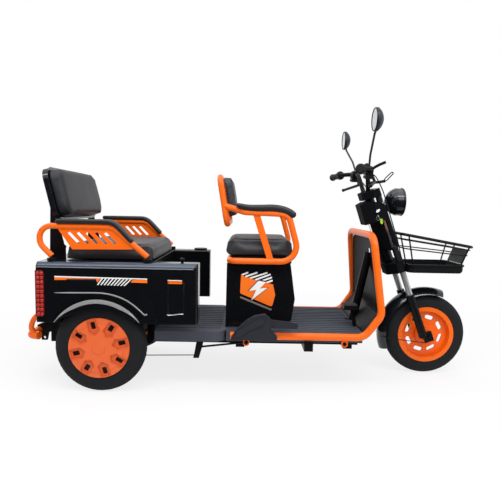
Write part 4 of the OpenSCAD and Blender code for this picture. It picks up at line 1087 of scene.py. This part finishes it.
hook = Shape()
hook.tube(curve_through([at(*spot) for spot in HOOK_ARM]), HOOK_ARM_R, 14, LEFT)
hook.tube(curve_through([at(*spot) for spot in SHORT_LEVER]), SHORT_LEVER_R, 12, LEFT)
loop = curve_through([at(x, HOOK_Y, z) for x, z in HOOK_LOOP], 6, True)
hook.tube(loop, HOOK_R, 10, LEFT, True)
hook.piece("bag_hook", black_steel, "steering", 40)

# Small white oval on the shroud, and the gauge on the bar

OVAL_AT = (8, 94, 294)
OVAL_HALF = (11, 6)
OVAL_LEAN = math.radians(24)
OVAL_T = 0.8
OVAL_STEPS = 24

white_oval = Shape()
verts = []
for t in (0, OVAL_T):
    for turn in turns(OVAL_STEPS):
        u = OVAL_HALF[0] * math.cos(turn)
        v = OVAL_HALF[1] * math.sin(turn)
        a = OVAL_AT[0] + u * math.cos(OVAL_LEAN) - v * math.sin(OVAL_LEAN)
        up = OVAL_AT[2] + u * math.sin(OVAL_LEAN) + v * math.cos(OVAL_LEAN)
        verts.append(steered(a, -OVAL_AT[1] - t, up))
white_oval.add(verts, ring_faces(2, OVAL_STEPS))
white_oval.piece("shroud_white_oval", white_vinyl, "steering", 40)

GAUGE_AT = (1200, 0, 1016)
GAUGE_UP = Vector((-0.5, 0, 0.866))
GAUGE = [(8, -20), (22, -18), (30, -8), (33, 4), (33.5, 12), (32, 17), (29, 19), (28, 16), (0.3, 16)]

gauge = Shape()
gauge.turned(GAUGE, at(*GAUGE_AT), 40, GAUGE_UP)
gauge.piece("gauge", black_plastic, "steering", 40)

# Headlamp bezel, reflector and bulb

LAMP_FRONT = at(1393, 0, 859)
BEZEL = [(62.8, -3), (68.3, -5), (69.6, -2), (69.6, 2.5), (67.5, 5.6), (63.4, 6), (62.6, 4)]
REFLECTOR = [(61.5, 0.6), (52, 0.5), (40, 0.4), (24, 0.3), (12, 0.25), (11, 1.6), (6, 2.4), (0.4, 2.6)]

bezel = Shape()
bezel.turned(BEZEL, LAMP_FRONT, 64, AHEAD, True)
bezel.piece("lamp_bezel", black_gloss, "steering", 40)
reflector = Shape()
reflector.turned(REFLECTOR, LAMP_FRONT, 48, AHEAD)
reflector.piece("lamp_reflector", chrome, "steering", 30)

# Controls: the brake levers' ball ends and the switches' buttons

LEVER_TIP = (1164, 300, 922)
BALL_R = 9
BALL_STEPS = 10
BALL_TIP = 0.2
SWITCH_AT = (1187, 147, 985)
BUTTON = [(6.5, -1), (6.5, 2.2), (5.5, 3.2), (0.3, 3.4)]
BUTTON_DROPS = (0, 15)
SWITCH_HALF = 17

ball = []
for i in range(BALL_STEPS + 1):
    turn = math.pi * i / BALL_STEPS
    ball.append((max(BALL_R * math.sin(turn), BALL_TIP), -BALL_R * math.cos(turn)))
balls = Shape()
buttons = Shape()
for side in SIDES:
    tip = at(LEVER_TIP[0], side * LEVER_TIP[1], LEVER_TIP[2])
    balls.turned(ball, tip, 18, LEFT)
    for drop in BUTTON_DROPS:
        spot = at(SWITCH_AT[0] - SWITCH_HALF, side * SWITCH_AT[1], SWITCH_AT[2] - drop)
        buttons.turned(BUTTON, spot, 16, -AHEAD)
balls.piece("lever_balls", black_steel, "steering", 60)
buttons.piece("switch_buttons", floor_plastic, "steering", 40)

# Cables from the bars to the fork

CABLE_R = 2.6
CABLE = [(1196, 150, 988), (1226, 150, 968), (1266, 126, 908), (1296, 110, 836), (1330, 105, 740),
         (1352, 103, 680), (1375, 98, 600), (1395, 97, 552)]
for number, side in enumerate(SIDES):
    line = curve_through([at(x, side * y, z) for x, y, z in CABLE], 10)
    cable = Shape()
    cable.tube(line, CABLE_R, 10, LEFT)
    piece = cable.piece("brake_cable_%d" % number, cable_black, "steering", 60)

# Pedal ribs

PEDAL_X = (1095, 1155)
PEDAL_TOP = 369
PEDAL_Y = -150
PEDAL_HALF = 33
PEDAL_RIBS = 8
RIB_R = 3

ribs = Shape()
for i in range(PEDAL_RIBS):
    x = PEDAL_X[0] + (PEDAL_X[1] - PEDAL_X[0]) * i / (PEDAL_RIBS - 1)
    ends = [at(x, PEDAL_Y - PEDAL_HALF, PEDAL_TOP), at(x, PEDAL_Y + PEDAL_HALF, PEDAL_TOP)]
    ribs.tube(ends, RIB_R, 10, UP)
ribs.piece("pedal_ribs", grip_rubber, "chassis", 50)

# Studio

CAMERA_AT = at(640, -2379, 825)
YAW = math.radians(0.21)
PITCH = math.radians(-5.25)
ROLL = math.radians(1.04)
FOCAL_SHARE = 477.3 / 500
SENSOR = 36


def add_camera():
    """The camera where the photograph was taken from."""
    ahead = Vector((math.sin(YAW) * math.cos(PITCH), math.cos(YAW) * math.cos(PITCH), math.sin(PITCH)))
    right = Vector((math.cos(YAW), -math.sin(YAW), 0))
    up = right.cross(ahead)
    across = right * math.cos(ROLL) + up * math.sin(ROLL)
    upright = up * math.cos(ROLL) - right * math.sin(ROLL)
    camera = new_object("camera", bpy.data.cameras.new("camera"))
    camera.data.sensor_width = SENSOR
    camera.data.lens = FOCAL_SHARE * SENSOR
    turn = Matrix((across, upright, -ahead)).transposed().to_4x4()
    camera.matrix_world = Matrix.Translation(CAMERA_AT) @ turn
    bpy.context.scene.camera = camera


def seen_white(nodes, links):
    """A factor of 1 for the camera, and for what metal and glass show."""
    path = nodes.new("ShaderNodeLightPath")
    seen = path.outputs["Is Camera Ray"]
    for ray in ("Is Glossy Ray", "Is Transmission Ray"):
        either = nodes.new("ShaderNodeMath")
        either.operation = "MAXIMUM"
        links.new(seen, either.inputs[0])
        links.new(path.outputs[ray], either.inputs[1])
        seen = either.outputs["Value"]
    return seen


WORLD_LIGHT = 0.46
FLOOR_SIZE = 40
FLOOR_FADE = 2.6
FLOOR_WHITE = 0.8
FLOOR_COLOUR = (0.85, 0.85, 0.85, 1)
LAMPS = [
    ("top_light", (0, -0.4, 3.6), (0, 0, 0.4), (4.5, 3), 58),
    ("front_light", (1.8, -3.4, 2.2), (0, 0, 0.5), (2.5, 2), 36),
    ("rear_light", (-2.6, 2.6, 2.4), (0, 0, 0.5), (2.5, 2), 28),
    ("strip_light", (0, -1.7, 2.7), (0, 0, 0.5), (5, 0.35), 60),
]
FLAG_HALF = 4
FLAG_NEAR = -0.75
FLAG_FAR = -2.9
FLAG_LOW = 0.003
FLAG_TOP = 1.7


def add_world():
    """A white surround that lights less than it shows."""
    world = bpy.data.worlds.new("studio")
    bpy.context.scene.world = world
    world.use_nodes = True
    nodes = world.node_tree.nodes
    links = world.node_tree.links
    sky = nodes["Background"]
    sky.inputs["Color"].default_value = (1, 1, 1, 1)
    strength = nodes.new("ShaderNodeMapRange")
    strength.inputs["To Min"].default_value = WORLD_LIGHT
    strength.inputs["To Max"].default_value = 1
    links.new(seen_white(nodes, links), strength.inputs["Value"])
    links.new(strength.outputs["Result"], sky.inputs["Strength"])


def plane(name, corners, mat):
    """A flat face with four corners."""
    mesh = bpy.data.meshes.new(name)
    mesh.from_pydata(corners, [], [(0, 1, 2, 3)])
    mesh.materials.append(mat)
    return new_object(name, mesh)


def add_floor():
    """A pale floor that keeps the shadow and fades into the surround."""
    mat = bpy.data.materials.new("pale_floor")
    mat.use_nodes = True
    nodes = mat.node_tree.nodes
    links = mat.node_tree.links
    nodes.remove(nodes["Principled BSDF"])
    matte = nodes.new("ShaderNodeBsdfDiffuse")
    matte.inputs["Color"].default_value = FLOOR_COLOUR
    glow = nodes.new("ShaderNodeEmission")
    place = nodes.new("ShaderNodeTexCoord")
    reach = nodes.new("ShaderNodeVectorMath")
    reach.operation = "LENGTH"
    links.new(place.outputs["Object"], reach.inputs[0])
    fade = nodes.new("ShaderNodeMapRange")
    fade.inputs["From Min"].default_value = 1
    fade.inputs["From Max"].default_value = FLOOR_FADE
    fade.inputs["To Min"].default_value = FLOOR_WHITE
    fade.inputs["To Max"].default_value = 1
    links.new(reach.outputs["Value"], fade.inputs["Value"])
    share = nodes.new("ShaderNodeMath")
    share.operation = "MULTIPLY"
    links.new(fade.outputs["Result"], share.inputs[0])
    links.new(seen_white(nodes, links), share.inputs[1])
    both = nodes.new("ShaderNodeMixShader")
    links.new(share.outputs["Value"], both.inputs["Fac"])
    links.new(matte.outputs["BSDF"], both.inputs[1])
    links.new(glow.outputs["Emission"], both.inputs[2])
    links.new(both.outputs["Shader"], nodes["Material Output"].inputs["Surface"])
    half = FLOOR_SIZE / 2
    corners = [(-half, -half, 0), (half, -half, 0), (half, half, 0), (-half, half, 0)]
    plane("floor", corners, mat)


def add_flag(name, corners):
    """A black card that only shows in glossy faces, as beside a shiny object in a studio."""
    mat = bpy.data.materials.new(name)
    mat.use_nodes = True
    skin = mat.node_tree.nodes["Principled BSDF"]
    skin.inputs["Base Color"].default_value = (0, 0, 0, 1)
    skin.inputs["Specular IOR Level"].default_value = 0
    flag = plane(name, corners, mat)
    flag.visible_camera = False
    flag.visible_diffuse = False
    flag.visible_transmission = False
    flag.visible_shadow = False


def add_lamp(name, place, aim, size, power):
    """A soft lamp turned towards a place."""
    light = bpy.data.lights.new(name, "AREA")
    light.shape = "RECTANGLE"
    light.size, light.size_y = size
    light.energy = power
    lamp = new_object(name, light)
    lamp.location = place
    lamp.rotation_euler = (Vector(aim) - Vector(place)).to_track_quat("-Z", "Y").to_euler()


add_camera()
add_world()
add_floor()
for lamp in LAMPS:
    add_lamp(*lamp)
foot = [(-FLAG_HALF, FLAG_FAR, FLAG_LOW), (FLAG_HALF, FLAG_FAR, FLAG_LOW)]
add_flag("wall_flag", foot + [(FLAG_HALF, FLAG_FAR, FLAG_TOP), (-FLAG_HALF, FLAG_FAR, FLAG_TOP)])
add_flag("floor_flag", foot + [(FLAG_HALF, FLAG_NEAR, FLAG_LOW), (-FLAG_HALF, FLAG_NEAR, FLAG_LOW)])

bpy.context.scene.view_settings.view_transform = "Standard"
